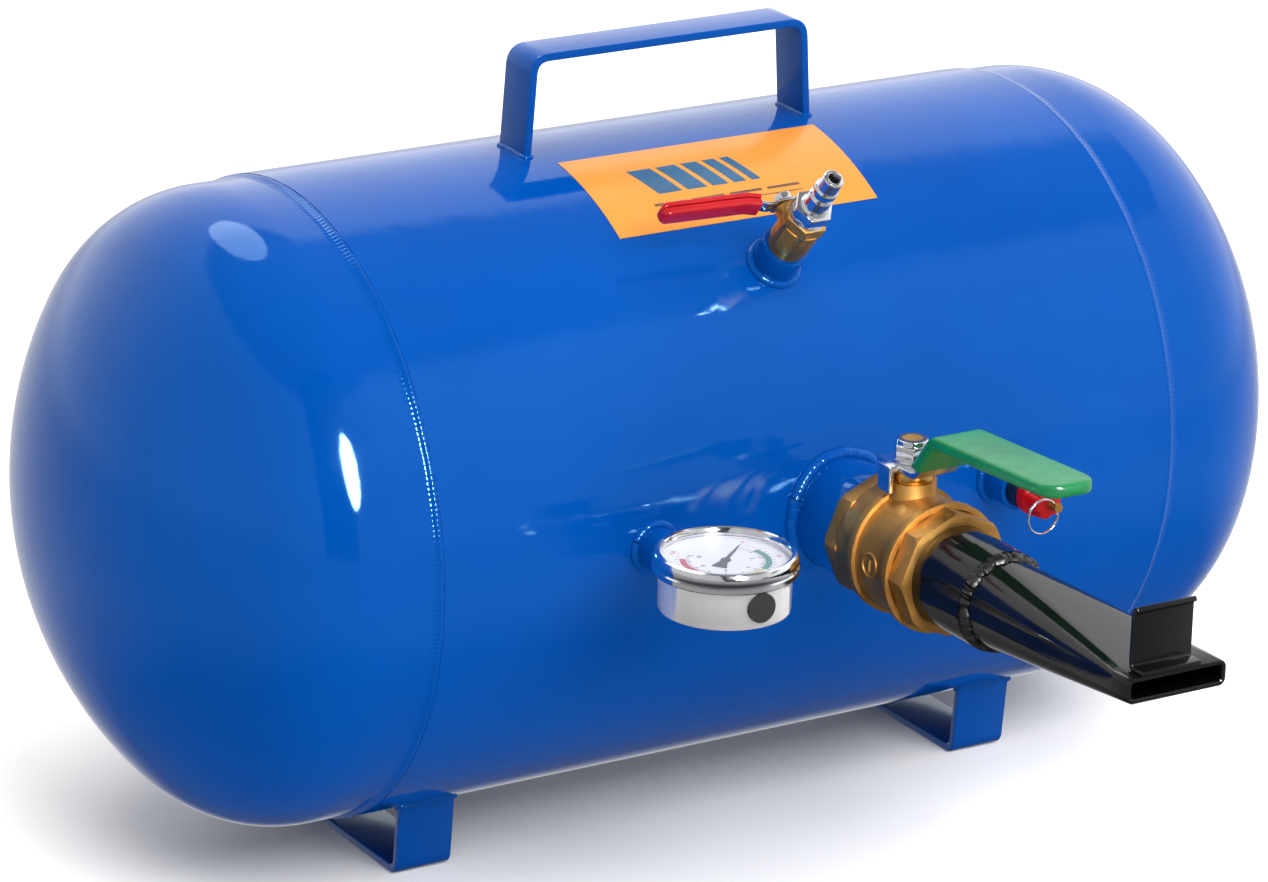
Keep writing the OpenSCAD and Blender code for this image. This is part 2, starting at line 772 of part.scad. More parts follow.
module relief_body() {
    color("gray") at_front(relief_x, relief_z) difference() {
        union() {
            rod(6.45, rel_boss_end - 9, rel_boss_end + 1);
            rod(rel_body_r, rel_boss_end, rel_cap_start);
            rod(7.5, rel_cap_start - 1, rel_cap_start + 4);
        }
        rod(3, rel_boss_end - 10, rel_boss_end + 4);
        rod(5.6, rel_boss_end + 1.5, rel_cap_start + 5);
    }
}

module relief_cap() {
    color("crimson") at_front(relief_x, relief_z) difference() {
        rotate_extrude() polygon([[0, rel_cap_start], [9.4, rel_cap_start], [9.4, rel_cap_start + 5.5],
            [8.4, rel_cap_start + 6.5], [8.4, rel_cap_end - 4], [7.4, rel_cap_end - 1.2], [5.5, rel_cap_end],
            [0, rel_cap_end]]);
        rod(7.5 + eps, rel_cap_start - 1, rel_cap_start + 4);
        rod(5.6, rel_cap_start - 1, rel_cap_end - 3);
        rod(rel_pin_r + run, rel_cap_start, rel_cap_end + 1);
    }
}

module relief_poppet() {
    color("goldenrod") at_front(relief_x, relief_z) difference() {
        union() {
            rod(4.8, rel_boss_end + 1.8, rel_boss_end + 4.5);
            rod(rel_pin_r, rel_boss_end + 4, rel_pin_end);
        }
        translate([0, 0, rel_pin_end - 2.2]) rotate([0, 0, ring_lean - 90]) rotate([0, 90, 0])
            cylinder(r = ring_hole_r, h = 10, center = true);
    }
}

// Helical compression spring as a swept tube.
spring_turns = 5;
spring_z0 = rel_boss_end + 4.5;
spring_len = rel_cap_end - 3 - spring_z0 - 3;
spring_r = 3.6;
spring_wire = 0.5;
spring_rings = spring_turns * 12;
module relief_spring() {
    pts = [for (i = [0:spring_rings], k = [0:5])
        let (a = i * 30, b = k * 60, r = spring_r + spring_wire * cos(b))
        [r * cos(a), r * sin(a), spring_z0 + spring_wire + i / spring_rings * (spring_len - 2 * spring_wire)
            + spring_wire * sin(b)]];
    sides = [for (i = [0:spring_rings - 1], k = [0:5])
        [i * 6 + k, i * 6 + (k + 1) % 6, (i + 1) * 6 + (k + 1) % 6, (i + 1) * 6 + k]];
    ends = [[5, 4, 3, 2, 1, 0], [for (k = [0:5]) spring_rings * 6 + k]];
    color("silver") at_front(relief_x, relief_z) polyhedron(pts, concat(ends, sides));
}

module relief_ring() {
    color("silver") at_front(relief_x, relief_z) translate([0, 0, rel_pin_end - 2.2])
        rotate([0, 0, 180 + ring_lean]) translate([ring_r, 0, 0]) rotate_extrude()
            translate([ring_r, 0]) circle(r = ring_wire, $fn = 24);
}

// ---- Drawing ------------------------------------------------------------

shell();
head(-1);  // head_left
head(1);  // head_right
seam_weld(-1);  // seam_weld_left
seam_weld(1);  // seam_weld_right
carry_handle();
handle_welds();
foot(-1);  // foot_left
foot(1);  // foot_right
foot_welds();
label();
outlet_stub();
outlet_weld();
gauge_boss();
gauge_weld();
relief_boss();
relief_weld();
inlet_boss();
inlet_weld();
outlet_valve_body();
outlet_end_adapter();
outlet_seats();
outlet_ball();
outlet_stem();
outlet_packing();
outlet_gland();
outlet_lever();
outlet_grip();
outlet_washer();
outlet_nut();
nozzle_pipe();
nozzle_weld();
nozzle_flare();
rim_hook();
inlet_valve_body();
inlet_seats();
inlet_ball();
inlet_stem();
inlet_gland();
inlet_lever();
inlet_grip();
inlet_nut();
inlet_coupler();
gauge_connector();
gauge_case();
gauge_bezel();
gauge_lens();
gauge_dial();
gauge_pointer();
gauge_bourdon();
gauge_movement();
gauge_plug();
relief_body();
relief_cap();
relief_poppet();
relief_spring();
relief_ring();
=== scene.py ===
"""Looks of a portable air receiver with a ball-valve outlet and a flattened blast nozzle."""

import json
import math

import bmesh
import bpy
from mathutils import Matrix, Vector, noise


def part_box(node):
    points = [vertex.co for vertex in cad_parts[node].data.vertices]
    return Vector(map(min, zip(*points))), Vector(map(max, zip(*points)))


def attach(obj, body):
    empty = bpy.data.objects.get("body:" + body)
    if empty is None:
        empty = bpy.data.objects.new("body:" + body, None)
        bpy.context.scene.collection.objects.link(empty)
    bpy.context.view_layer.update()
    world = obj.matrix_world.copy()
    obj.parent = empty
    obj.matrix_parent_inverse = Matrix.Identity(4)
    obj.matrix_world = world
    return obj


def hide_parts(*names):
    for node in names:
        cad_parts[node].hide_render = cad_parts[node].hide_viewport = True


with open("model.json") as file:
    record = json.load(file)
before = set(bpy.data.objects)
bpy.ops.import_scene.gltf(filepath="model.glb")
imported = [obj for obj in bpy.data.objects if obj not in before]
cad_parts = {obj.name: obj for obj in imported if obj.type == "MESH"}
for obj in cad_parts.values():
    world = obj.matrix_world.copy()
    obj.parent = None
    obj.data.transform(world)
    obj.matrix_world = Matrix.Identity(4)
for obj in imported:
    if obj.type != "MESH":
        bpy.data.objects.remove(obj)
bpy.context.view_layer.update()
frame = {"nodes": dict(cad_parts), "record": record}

MM = 0.001
BODIES = frame["record"]["behaviour"]["bodies"]
BODY_OF = {node: body for body, nodes in BODIES.items() for node in nodes}
SLOT_OF = {row["node"]: row["material_slot"] for row in frame["record"]["subparts"]}

# ---- Places, all read from the frame ------------------------------------

shell_low, shell_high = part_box("shell")
TANK_R = (shell_high.z - shell_low.z) / 2
HALF_L = (shell_high.x - shell_low.x) / 2
AXIS_Y = (shell_high.y + shell_low.y) / 2
AXIS_Z = (shell_high.z + shell_low.z) / 2
TANK = Matrix.Translation((0, AXIS_Y, AXIS_Z))


def middle(node):
    """The middle of a CAD node's box."""
    low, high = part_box(node)
    return (low + high) / 2


def port(x, z, tilt=0.0):
    """Local Z points out of a port and local Y points up its valve stem."""
    return Matrix.Translation((x, AXIS_Y, z)) @ Matrix.Rotation(math.radians(90 - tilt), 4, "X")


def mount_axis(name):
    """The direction of a mount in the record."""
    return next(m for m in frame["record"]["mounts"] if m["name"] == name)["axis"]


INLET_TILT = math.degrees(math.asin(mount_axis("coupler_nose")[2]))
OUTLET = port(middle("nozzle_pipe").x, middle("nozzle_pipe").z)
GAUGE_PORT = port(middle("gauge_boss").x, middle("gauge_boss").z)
RELIEF = port(middle("relief_cap").x, middle("relief_cap").z)
INLET = port(middle("inlet_boss").x, AXIS_Z, INLET_TILT)
GAUGE = Matrix.Translation((middle("gauge_bezel").x, middle("gauge_bezel").y, AXIS_Z))


def local_box(node, matrix):
    """Lowest and highest corner of a CAD node in a local frame."""
    inverse = matrix.inverted()
    points = [inverse @ v.co for v in frame["nodes"][node].data.vertices]
    low = Vector([min(p[i] for p in points) for i in range(3)])
    high = Vector([max(p[i] for p in points) for i in range(3)])
    return low, high


# ---- Materials ----------------------------------------------------------

PIGMENT_DIM = 0.53                             # the lamps are bright enough to burn the floor out to white


def linear(red, green, blue):
    """A colour given as 0-255 display values, as the shaders take it."""
    def channel(value):
        value /= 255
        return value / 12.92 if value <= 0.04045 else ((value + 0.055) / 1.055) ** 2.4
    return (channel(red), channel(green), channel(blue), 1.0)


def pigment(red, green, blue):
    """A paint or plastic colour, dimmed to suit the lamps."""
    return tuple(channel * PIGMENT_DIM for channel in linear(red, green, blue)[:3]) + (1.0,)


def mapped(tree, source, from_low, from_high, low, high):
    """A node that maps one span of values onto another."""
    node = tree.nodes.new("ShaderNodeMapRange")
    spans = {"From Min": from_low, "From Max": from_high, "To Min": low, "To Max": high}
    for socket, value in spans.items():
        node.inputs[socket].default_value = value
    tree.links.new(source, node.inputs["Value"])
    return node.outputs["Result"]


def fill_ramp(node, stops):
    """Gives a colour ramp its (position, colour) stops."""
    elements = node.color_ramp.elements
    while len(elements) < len(stops):
        elements.new(0.5)
    for element, (position, colour) in zip(elements, stops):
        element.position = position
        element.color = colour


class Surface:
    """A Principled material with a few node helpers."""

    def __init__(self, name, **sockets):
        self.material = bpy.data.materials.new(name)
        self.material.use_nodes = True
        self.tree = self.material.node_tree
        self.shader = self.tree.nodes["Principled BSDF"]
        for socket, value in sockets.items():
            self.shader.inputs[socket.replace("_", " ")].default_value = value
        self.place = self.tree.nodes.new("ShaderNodeTexCoord").outputs["Object"]
        self.normal = None

    def noise(self, scale, detail=4.0, stretch=(1, 1, 1)):
        """Noise of the given scale per metre, stretched along the axes."""
        mapping = self.tree.nodes.new("ShaderNodeMapping")
        mapping.inputs["Scale"].default_value = stretch
        texture = self.tree.nodes.new("ShaderNodeTexNoise")
        texture.inputs["Scale"].default_value = scale
        texture.inputs["Detail"].default_value = detail
        self.tree.links.new(self.place, mapping.inputs["Vector"])
        self.tree.links.new(mapping.outputs["Vector"], texture.inputs["Vector"])
        return texture.outputs["Fac"]

    def ramp(self, source, *stops):
        """A colour ramp over (position, colour) stops."""
        node = self.tree.nodes.new("ShaderNodeValToRGB")
        fill_ramp(node, stops)
        self.tree.links.new(source, node.inputs["Fac"])
        return node.outputs["Color"]

    def spread(self, source, low, high):
        """Maps 0.3-0.7 of a noise onto low-high."""
        return mapped(self.tree, source, 0.3, 0.7, low, high)

    def colour(self, output):
        """Feeds the base colour."""
        self.tree.links.new(output, self.shader.inputs["Base Color"])

    def roughness(self, output):
        """Feeds the roughness."""
        self.tree.links.new(output, self.shader.inputs["Roughness"])

    def bump(self, output, height, strength=1.0):
        """Adds a bump of the given height in metres on top of those before it."""
        node = self.tree.nodes.new("ShaderNodeBump")
        node.inputs["Distance"].default_value = height
        node.inputs["Strength"].default_value = strength
        self.tree.links.new(output, node.inputs["Height"])
        if self.normal:
            self.tree.links.new(self.normal, node.inputs["Normal"])
        self.normal = node.outputs["Normal"]
        self.tree.links.new(self.normal, self.shader.inputs["Normal"])


def worn(name, light, dark, rough, patch=60, grain=0, grain_height=0.0, detail=4.0,
         stretch=(1, 1, 1), **sockets):
    """A material whose colour and roughness drift in patches, with a fine grain as bump."""
    surface = Surface(name, **sockets)
    drift = surface.noise(patch, 3)
    surface.colour(surface.ramp(drift, (0.35, light), (0.65, dark)))
    surface.roughness(surface.spread(surface.noise(patch * 4, 4, stretch), *rough))
    if grain:
        surface.bump(surface.noise(grain, detail, stretch), grain_height)
    return surface.material


def tank_paint():
    """Glossy powder coat: orange peel, a slow drift of colour, and a reflection that keeps the blue."""
    surface = Surface("tank_paint", Specular_IOR_Level=0.45, Specular_Tint=(0.3, 0.7, 1.0, 1))
    drift = surface.noise(9, 3)
    surface.colour(surface.ramp(drift, (0.3, pigment(0, 87, 186)), (0.7, pigment(0, 80, 176))))
    surface.roughness(surface.spread(surface.noise(40, 3), 0.05, 0.11))
    surface.bump(surface.noise(55, 2), 0.00012)
    surface.bump(surface.noise(420, 2), 0.000012)
    return surface.material


PAINT = tank_paint()
ORANGE = worn("sticker", pigment(255, 168, 66), pigment(252, 160, 58), (0.2, 0.3), patch=14,
              grain=900, grain_height=0.00001)
PRINT_BLUE = worn("print_blue", pigment(58, 110, 150), pigment(50, 98, 140), (0.22, 0.32), patch=60,
                  grain=900, grain_height=0.00001)
PRINT_GREY = worn("print_grey", pigment(120, 90, 75), pigment(105, 78, 68), (0.25, 0.35), patch=60,
                  grain=900, grain_height=0.00001)
BRASS = worn("brass", linear(196, 150, 84), linear(166, 122, 62), (0.42, 0.58), patch=45, Metallic=1.0,
             grain=1500, grain_height=0.00008)
BRIGHT_BRASS = worn("bright_brass", linear(232, 188, 112), linear(214, 166, 92), (0.16, 0.28), patch=80,
                    Metallic=1.0, grain=2600, grain_height=0.00001, stretch=(1, 1, 6))
CHROME = worn("plated_steel", linear(232, 233, 236), linear(214, 216, 222), (0.06, 0.14), patch=70,
              Metallic=1.0, grain=700, grain_height=0.00001)
LEVER_STEEL = worn("lever_steel", linear(226, 228, 232), linear(205, 208, 214), (0.12, 0.22), patch=50,
                   Metallic=1.0, grain=1200, grain_height=0.00001, stretch=(6, 1, 1))
GAUGE_STEEL = worn("gauge_steel", linear(238, 238, 238), linear(226, 226, 228), (0.05, 0.1), patch=40,
                   Metallic=0.72, grain=900, grain_height=0.000004)
SEAT = worn("seat_plastic", pigment(238, 238, 230), pigment(226, 226, 216), (0.4, 0.55), patch=90,
            grain=1500, grain_height=0.00001)
GREEN = worn("green_vinyl", pigment(4, 148, 84), pigment(0, 134, 74), (0.26, 0.36), patch=35,
             grain=1200, grain_height=0.000005, Subsurface_Weight=0.05)
RED = worn("red_vinyl", pigment(214, 20, 34), pigment(196, 12, 26), (0.14, 0.24), patch=60,
           grain=1500, grain_height=0.00001)
BLACK = worn("black_paint", pigment(20, 20, 22), pigment(12, 12, 14), (0.07, 0.13), patch=30,
             grain=160, grain_height=0.00005, detail=2.0, Specular_IOR_Level=0.34)
WELD_BLACK = worn("weld_black", pigment(34, 34, 34), pigment(14, 14, 14), (0.25, 0.5), patch=160,
                  grain=1400, grain_height=0.00015)
DIAL = worn("dial_white", pigment(232, 234, 244), pigment(224, 226, 238), (0.35, 0.45), patch=40,
            grain=1500, grain_height=0.000004)
NEEDLE = worn("needle_black", pigment(14, 14, 18), pigment(8, 8, 12), (0.3, 0.4), patch=200,
              grain=3000, grain_height=0.000004)
NYLON = worn("nylon", pigment(24, 52, 104), pigment(18, 40, 86), (0.35, 0.5), patch=200,
             grain=2000, grain_height=0.00001)
RUBBER = worn("black_rubber", pigment(30, 30, 30), pigment(22, 22, 22), (0.55, 0.7), patch=200,
              grain=4000, grain_height=0.00003)
DARK_STEEL = worn("relief_steel", linear(92, 92, 96), linear(66, 66, 70), (0.3, 0.45), patch=200,
                  Metallic=1.0, grain=2500, grain_height=0.00003)
RED_CAP = worn("red_cap", pigment(208, 16, 24), pigment(186, 8, 16), (0.25, 0.35), patch=90,
               grain=1600, grain_height=0.00001, Specular_IOR_Level=0.15)
DIAL_RED = worn("dial_red", pigment(196, 30, 60), pigment(184, 24, 54), (0.35, 0.45), patch=200,
                grain=3000, grain_height=0.000004)
DIAL_GREEN = worn("dial_green", pigment(0, 132, 110), pigment(0, 122, 100), (0.35, 0.45), patch=200,
                  grain=3000, grain_height=0.000004)
DIAL_YELLOW = worn("dial_yellow", pigment(200, 194, 92), pigment(190, 184, 84), (0.35, 0.45), patch=200,
                   grain=3000, grain_height=0.000004)


def lens_glass():
    """A clear window that lets lamps through, with faint smears in its gloss."""
    surface = Surface("lens_glass", Base_Color=(0.92, 0.94, 1.0, 1), IOR=1.45, Specular_IOR_Level=0.2)
    surface.shader.inputs["Alpha"].default_value = 0.06
    surface.roughness(surface.spread(surface.noise(120, 4), 0.02, 0.07))
    surface.bump(surface.noise(60, 2), 0.00002)
    return surface.material


GLASS = lens_glass()
SLOT_MATERIAL = {
    "tank_paint": PAINT, "sticker": ORANGE, "brass": BRASS, "plated_steel": CHROME,
    "lever_steel": LEVER_STEEL, "seat_plastic": SEAT, "green_vinyl": GREEN, "red_vinyl": RED,
    "black_paint": BLACK, "weld_black": WELD_BLACK, "gauge_steel": GAUGE_STEEL, "lens_glass": GLASS,
    "dial_white": DIAL, "needle_black": NEEDLE, "black_rubber": RUBBER, "relief_steel": DARK_STEEL,
    "red_cap": RED_CAP,
}
for node, obj in frame["nodes"].items():
    obj.data.materials.clear()
    obj.data.materials.append(SLOT_MATERIAL[SLOT_OF[node]])

# ---- Mesh helpers -------------------------------------------------------

SHARP = math.radians(32)                       # edges sharper than this stay crisp
BEVEL_FROM = math.radians(28)                  # edges sharper than this are rounded by eased()
COPLANAR = math.radians(0.7)                   # facets flatter than this count as one face
BEAD_SIDES = 14
BEAD_STEPS = 6                                 # rings to one ripple of a weld


def piece(name, mesh, material, body, replaces=()):
    """Finishes a mesh: smooth with true edges, a material, a body and the nodes it stands for."""
    mesh.name = name
    mesh.materials.clear()
    mesh.materials.append(material)
    mesh.shade_smooth()
    mesh.set_sharp_from_angle(angle=SHARP)
    obj = bpy.data.objects.new(name, mesh)
    bpy.context.scene.collection.objects.link(obj)
    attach(obj, body)
    if replaces:
        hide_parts(*replaces)
    return obj


def build(verts, faces, matrix, merge=1e-6):
    """A clean mesh from points in a local frame, with its normals outward."""
    mesh = bpy.data.meshes.new("mesh")
    mesh.from_pydata([matrix @ Vector(v) for v in verts], [], faces)
    bm = bmesh.new()
    bm.from_mesh(mesh)
    bmesh.ops.remove_doubles(bm, verts=bm.verts, dist=merge)
    bmesh.ops.dissolve_degenerate(bm, dist=merge, edges=bm.edges)
    bmesh.ops.recalc_face_normals(bm, faces=bm.faces)
    bm.to_mesh(mesh)
    bm.free()
    return mesh


def joined(meshes):
    """One mesh holding copies of several."""
    bm = bmesh.new()
    for mesh in meshes:
        bm.from_mesh(mesh)
        bpy.data.meshes.remove(mesh)
    result = bpy.data.meshes.new("mesh")
    bm.to_mesh(result)
    bm.free()
    return result


def rounded(points, radius, steps=4, closed=True):
    """An outline with its corners turned into arcs, cut short where an edge is short."""
    count = len(points)
    result = []
    for i, corner in enumerate(points):
        corner = Vector(corner)
        if not closed and i in (0, count - 1):
            result.append(corner)
            continue
        before, after = Vector(points[i - 1]) - corner, Vector(points[(i + 1) % count]) - corner
        turn = before.angle(after)
        if turn > math.radians(176) or turn < math.radians(4):
            result.append(corner)
            continue
        r = radius[i] if isinstance(radius, (list, tuple)) else radius
        cut = min(r / math.tan(turn / 2), before.length * 0.45, after.length * 0.45)
        if cut < 1e-6:
            result.append(corner)
            continue
        start, end = corner + before.normalized() * cut, corner + after.normalized() * cut
        for k in range(steps + 1):
            t = k / steps
            result.append(start * (1 - t) ** 2 + corner * 2 * t * (1 - t) + end * t ** 2)
    return result


def lathe(profile, matrix=Matrix(), segments=96, closed=True, start=0.0, turn=360.0):
    """Turns an outline of (radius, height) points about local Z."""
    whole = turn >= 360
    rings = segments if whole else segments + 1
    verts, faces = [], []
    for i in range(rings):
        angle = math.radians(start + turn * i / segments)
        verts += [(r * math.cos(angle), r * math.sin(angle), z) for r, z in profile]
    n = len(profile)
    for i in range(segments):
        a, b = i * n, (i + 1) % rings * n
        for k in range(n if closed else n - 1):
            faces.append((a + k, b + k, b + (k + 1) % n, a + (k + 1) % n))
    if not whole:
        faces += [tuple(range(n)), tuple((rings - 1) * n + k for k in range(n))]
    return build(verts, faces, matrix)


def skin(rings, matrix=Matrix(), closed=False):
    """Joins equal rings of points into a tube."""
    n = len(rings[0])
    verts = [p for ring in rings for p in ring]
    faces = []
    for i in range(len(rings) if closed else len(rings) - 1):
        a, b = i * n, (i + 1) % len(rings) * n
        faces += [(a + k, b + k, b + (k + 1) % n, a + (k + 1) % n) for k in range(n)]
    if not closed:
        faces += [tuple(range(n)), tuple((len(rings) - 1) * n + k for k in range(n))]
    return build(verts, faces, matrix)


def tangents(path, closed):
    """The direction of a path at each of its points."""
    count = len(path)
    found = []
    for i in range(count):
        ahead = path[(i + 1) % count] if closed or i < count - 1 else path[i]
        behind = path[i - 1] if closed or i else path[i]
        found.append((ahead - behind).normalized())
    return found


def swept(path, section, side, closed=False):
    """Rings of section(i) carried along a path, where side(tangent) is the way across."""
    rings = []
    for i, (point, tangent) in enumerate(zip(path, tangents(path, closed))):
        across = side(tangent)
        up = across.cross(tangent)
        rings.append([point + across * u + up * v for u, v in section(i)])
    return rings


def mm(*points):
    """Points given in millimetres, in metres."""
    return [tuple(value * MM for value in point) for point in points]


def wire(path, radius, closed=False, sides=12):
    """A round wire of even thickness along a path."""
    ring = [(radius * math.cos(2 * math.pi * k / sides), radius * math.sin(2 * math.pi * k / sides))
            for k in range(sides)]
    rings, across = [], None
    for point, tangent in zip(path, tangents(path, closed)):
        across = tangent.orthogonal() if across is None else across - tangent * across.dot(tangent)
        across.normalize()
        up = tangent.cross(across)
        rings.append([point + across * u + up * v for u, v in ring])
    return skin(rings, closed=closed)


def bar(outline, width, thickness, matrix, edge=0.8 * MM):
    """A flat bar of the given width (local Y) that follows a path of (x, z) points."""
    w, t = width / 2, thickness / 2
    section = rounded([(-w, -t), (w, -t), (w, t), (-w, t)], edge, 3)
    path = [Vector((p[0], 0, p[1])) for p in outline]
    return skin(swept(path, lambda i: section, lambda tangent: Vector((0, 1, 0))), matrix)


def arc_path(points, radius, steps=12):
    """An open path with round bends."""
    return rounded(points, radius, steps, closed=False)


def weld(path, radius, closed=True, pitch=2.2 * MM, lump=0.16, seed=0, flat=1.0, wander=0.1, grit=0.0):
    """A weld bead: a tube that swells by lump at each ripple and wanders and roughens in between."""
    count = len(path)
    lengths = [0.0]
    for i in range(1, count):
        lengths.append(lengths[-1] + (path[i] - path[i - 1]).length)
    total = lengths[-1] + ((path[0] - path[-1]).length if closed else 0)
    ripples = max(4, round(total / pitch))
    steps = ripples * BEAD_STEPS
    points, sizes = [], []
    k = 0
    for i in range(steps if closed else steps + 1):
        s = total * i / steps
        while k < count - 2 and lengths[k + 1] < s:
            k += 1
        a, b = path[k], path[k + 1]
        if closed and s > lengths[-1]:
            a, b = path[-1], path[0]
            t = (s - lengths[-1]) / (total - lengths[-1])
        else:
            t = (s - lengths[k]) / max(lengths[k + 1] - lengths[k], 1e-9)
        spot = a.lerp(b, min(max(t, 0), 1))
        drift = noise.noise(spot * 260 + Vector((seed, 0, 0)))
        rough = noise.noise(spot * 700 + Vector((0, seed, 0)))
        phase = 12 * wander * noise.noise(spot * 90 + Vector((0, 0, seed)))
        ripple = abs(math.sin(math.pi * s / total * ripples + phase))
        sizes.append(radius * (1 + lump * (ripple ** 0.7 - 0.55) + wander * drift + grit * rough))
        jitter = Vector([noise.noise(spot * 190 + Vector((seed, 7 * j + 3, 0))) for j in range(3)])
        points.append(spot + jitter * radius * 0.12)

    def section(i):
        angles = [2 * math.pi * j / BEAD_SIDES for j in range(BEAD_SIDES)]
        return [(sizes[i] * math.cos(a), sizes[i] * math.sin(a) * flat) for a in angles]

    def side(tangent):
        reference = Vector((0, 0, 1)) if abs(tangent.z) < 0.9 else Vector((1, 0, 0))
        return tangent.cross(reference).normalized()

    return skin(swept(points, section, side, closed), closed=closed)


def eased(node, width, material=None, segments=2, detail=()):
    """A copy of a CAD node with its edges rounded, which stands for the node."""
    bm = bmesh.new()
    bm.from_mesh(frame["nodes"][node].data)
    bmesh.ops.remove_doubles(bm, verts=bm.verts, dist=2e-6)
    bmesh.ops.dissolve_limit(bm, angle_limit=COPLANAR, verts=bm.verts, edges=bm.edges)
    edges = [e for e in bm.edges if len(e.link_faces) == 2 and e.calc_face_angle(0) > BEVEL_FROM]
    bmesh.ops.bevel(bm, geom=edges, offset=width, segments=segments, profile=0.5, affect="EDGES",
                    clamp_overlap=True)
    mesh = bpy.data.meshes.new("mesh")
    bm.to_mesh(mesh)
    bm.free()
    if detail:
        mesh = joined([mesh, *detail])
    return piece(f"{node}_part", mesh, material or SLOT_MATERIAL[SLOT_OF[node]],
                 BODY_OF[node], [node])


def painted(name, mesh, node):
    """A painted piece of the tank that stands for a CAD node."""
    return piece(name, mesh, PAINT, "tank", [node])


# ---- Tank ---------------------------------------------------------------

SKIRT_R = TANK_R - 1.5 * MM
KNUCKLE_R = 68 * MM
CROWN_R = 198 * MM
SKIRT_L = 22 * MM
WALL = 3 * MM
NECK_L = 10 * MM
SEAM_W = 4 * MM


def head_profile():
    """A head's outside from its skirt to its pole, then back along the inside."""
    centre = SKIRT_R - KNUCKLE_R
    crown_z = SKIRT_L - math.sqrt((CROWN_R - KNUCKLE_R) ** 2 - centre ** 2)
    turn = math.atan2(centre, SKIRT_L - crown_z)
    steps = 40

    def arcs(wall):
        knuckle = [math.pi / 2 - (math.pi / 2 - turn) * i / steps for i in range(steps + 1)]
        crown = [turn * (1 - i / steps) for i in range(1, steps + 1)]
        return [(centre + (KNUCKLE_R - wall) * math.sin(a), SKIRT_L + (KNUCKLE_R - wall) * math.cos(a))
                for a in knuckle] + \
            [((CROWN_R - wall) * math.sin(a), crown_z + (CROWN_R - wall) * math.cos(a)) for a in crown]

    inner = TANK_R - WALL - 0.05 * MM
    outside = [(inner, -NECK_L), (inner, SEAM_W * 0.5), (SKIRT_R, SEAM_W * 0.9)]
    outside += [(SKIRT_R, SEAM_W + (SKIRT_L - SEAM_W) * i / 4) for i in range(4)]
    inside = list(reversed(arcs(WALL))) + [(inner - WALL, SEAM_W), (inner - WALL, -NECK_L)]
    return outside + arcs(0) + inside


SEAM_RIPPLES = 400
SEAM_STEPS = SEAM_RIPPLES * 5
SEAM_BELOW = -0.02 * MM                        # the bead stays this far inside the shell's own radius
SEAM_PROFILE = mm((-0.6, -0.6), (0.1, -0.4), (1.1, -0.28), (1.9, -0.45), (2.9, -1.0), (3.9, -1.36),
                  (5.2, -1.5), (6.4, -1.62), (5.5, -2.4), (-0.6, -1.6))
SEAM_TOP = range(1, 7)                         # the points of the profile that ripple


def seam_ring(matrix, seed):
    """A low weld that steps from the shell down to the head, with a fine ripple along it."""
    rings = []
    for i in range(SEAM_STEPS):
        angle = 2 * math.pi * i / SEAM_STEPS
        spot = Vector((math.cos(angle), math.sin(angle), 0))
        lift = 0.16 * MM * abs(math.sin(SEAM_RIPPLES * angle / 2))
        lift += 0.2 * MM * noise.noise(spot * 14 + Vector((0, 0, seed)))
        shift = 0.35 * MM * noise.noise(spot * 9 + Vector((seed, 5, 0)))
        ring = []
        for k, (z, r) in enumerate(SEAM_PROFILE):
            height = min(r + (lift if k in SEAM_TOP else 0), SEAM_BELOW)
            ring.append(spot * (TANK_R + height) + Vector((0, 0, z + shift)))
        rings.append(ring)
    return skin(rings, matrix, closed=True)


for side_name, sign in (("left", -1), ("right", 1)):
    at_seam = TANK @ Matrix.Translation((sign * HALF_L, 0, 0)) @ Matrix.Rotation(sign * math.pi / 2, 4, "Y")
    painted(f"head_{side_name}_dish", lathe(head_profile(), at_seam, 192), f"head_{side_name}")
    painted(f"seam_weld_{side_name}_bead", seam_ring(at_seam, sign), f"seam_weld_{side_name}")

# ---- Handle and feet ----------------------------------------------------

BAR_T = 4 * MM
handle_low, handle_high = local_box("carry_handle", TANK)
HANDLE_W = handle_high.y - handle_low.y
HANDLE_TOP = handle_high.z
HANDLE_HALF = handle_high.x                    # at the feet of its legs, which splay a little
LEG_SPLAY = 3.3 * MM
foot_low, foot_high = local_box("foot_right", TANK)
FOOT_W = foot_high.x - foot_low.x
FOOT_X = (foot_high.x + foot_low.x) / 2
FOOT_HALF = foot_high.y
LEG_LEAN = 3.5 * MM


def on_tank(x, y, top=True):
    """A point on the shell above or below (x, y) in the tank's own frame."""
    z = math.sqrt(TANK_R ** 2 - y ** 2)
    return TANK @ Vector((x, y, z if top else -z))


def leg_loop(cx, cy, wx, wy, top):
    """The line round a leg's foot on the shell."""
    corners = [(cx - wx / 2, cy - wy / 2), (cx + wx / 2, cy - wy / 2), (cx + wx / 2, cy + wy / 2),
               (cx - wx / 2, cy + wy / 2)]
    dense = []
    loop = rounded(corners, 1.2 * MM, 4)
    for i, p in enumerate(loop):
        q = loop[(i + 1) % len(loop)]
        steps = max(1, int((q - p).length / MM))
        dense += [p.lerp(q, k / steps) for k in range(steps)]
    return [on_tank(p.x, p.y, top) for p in dense]


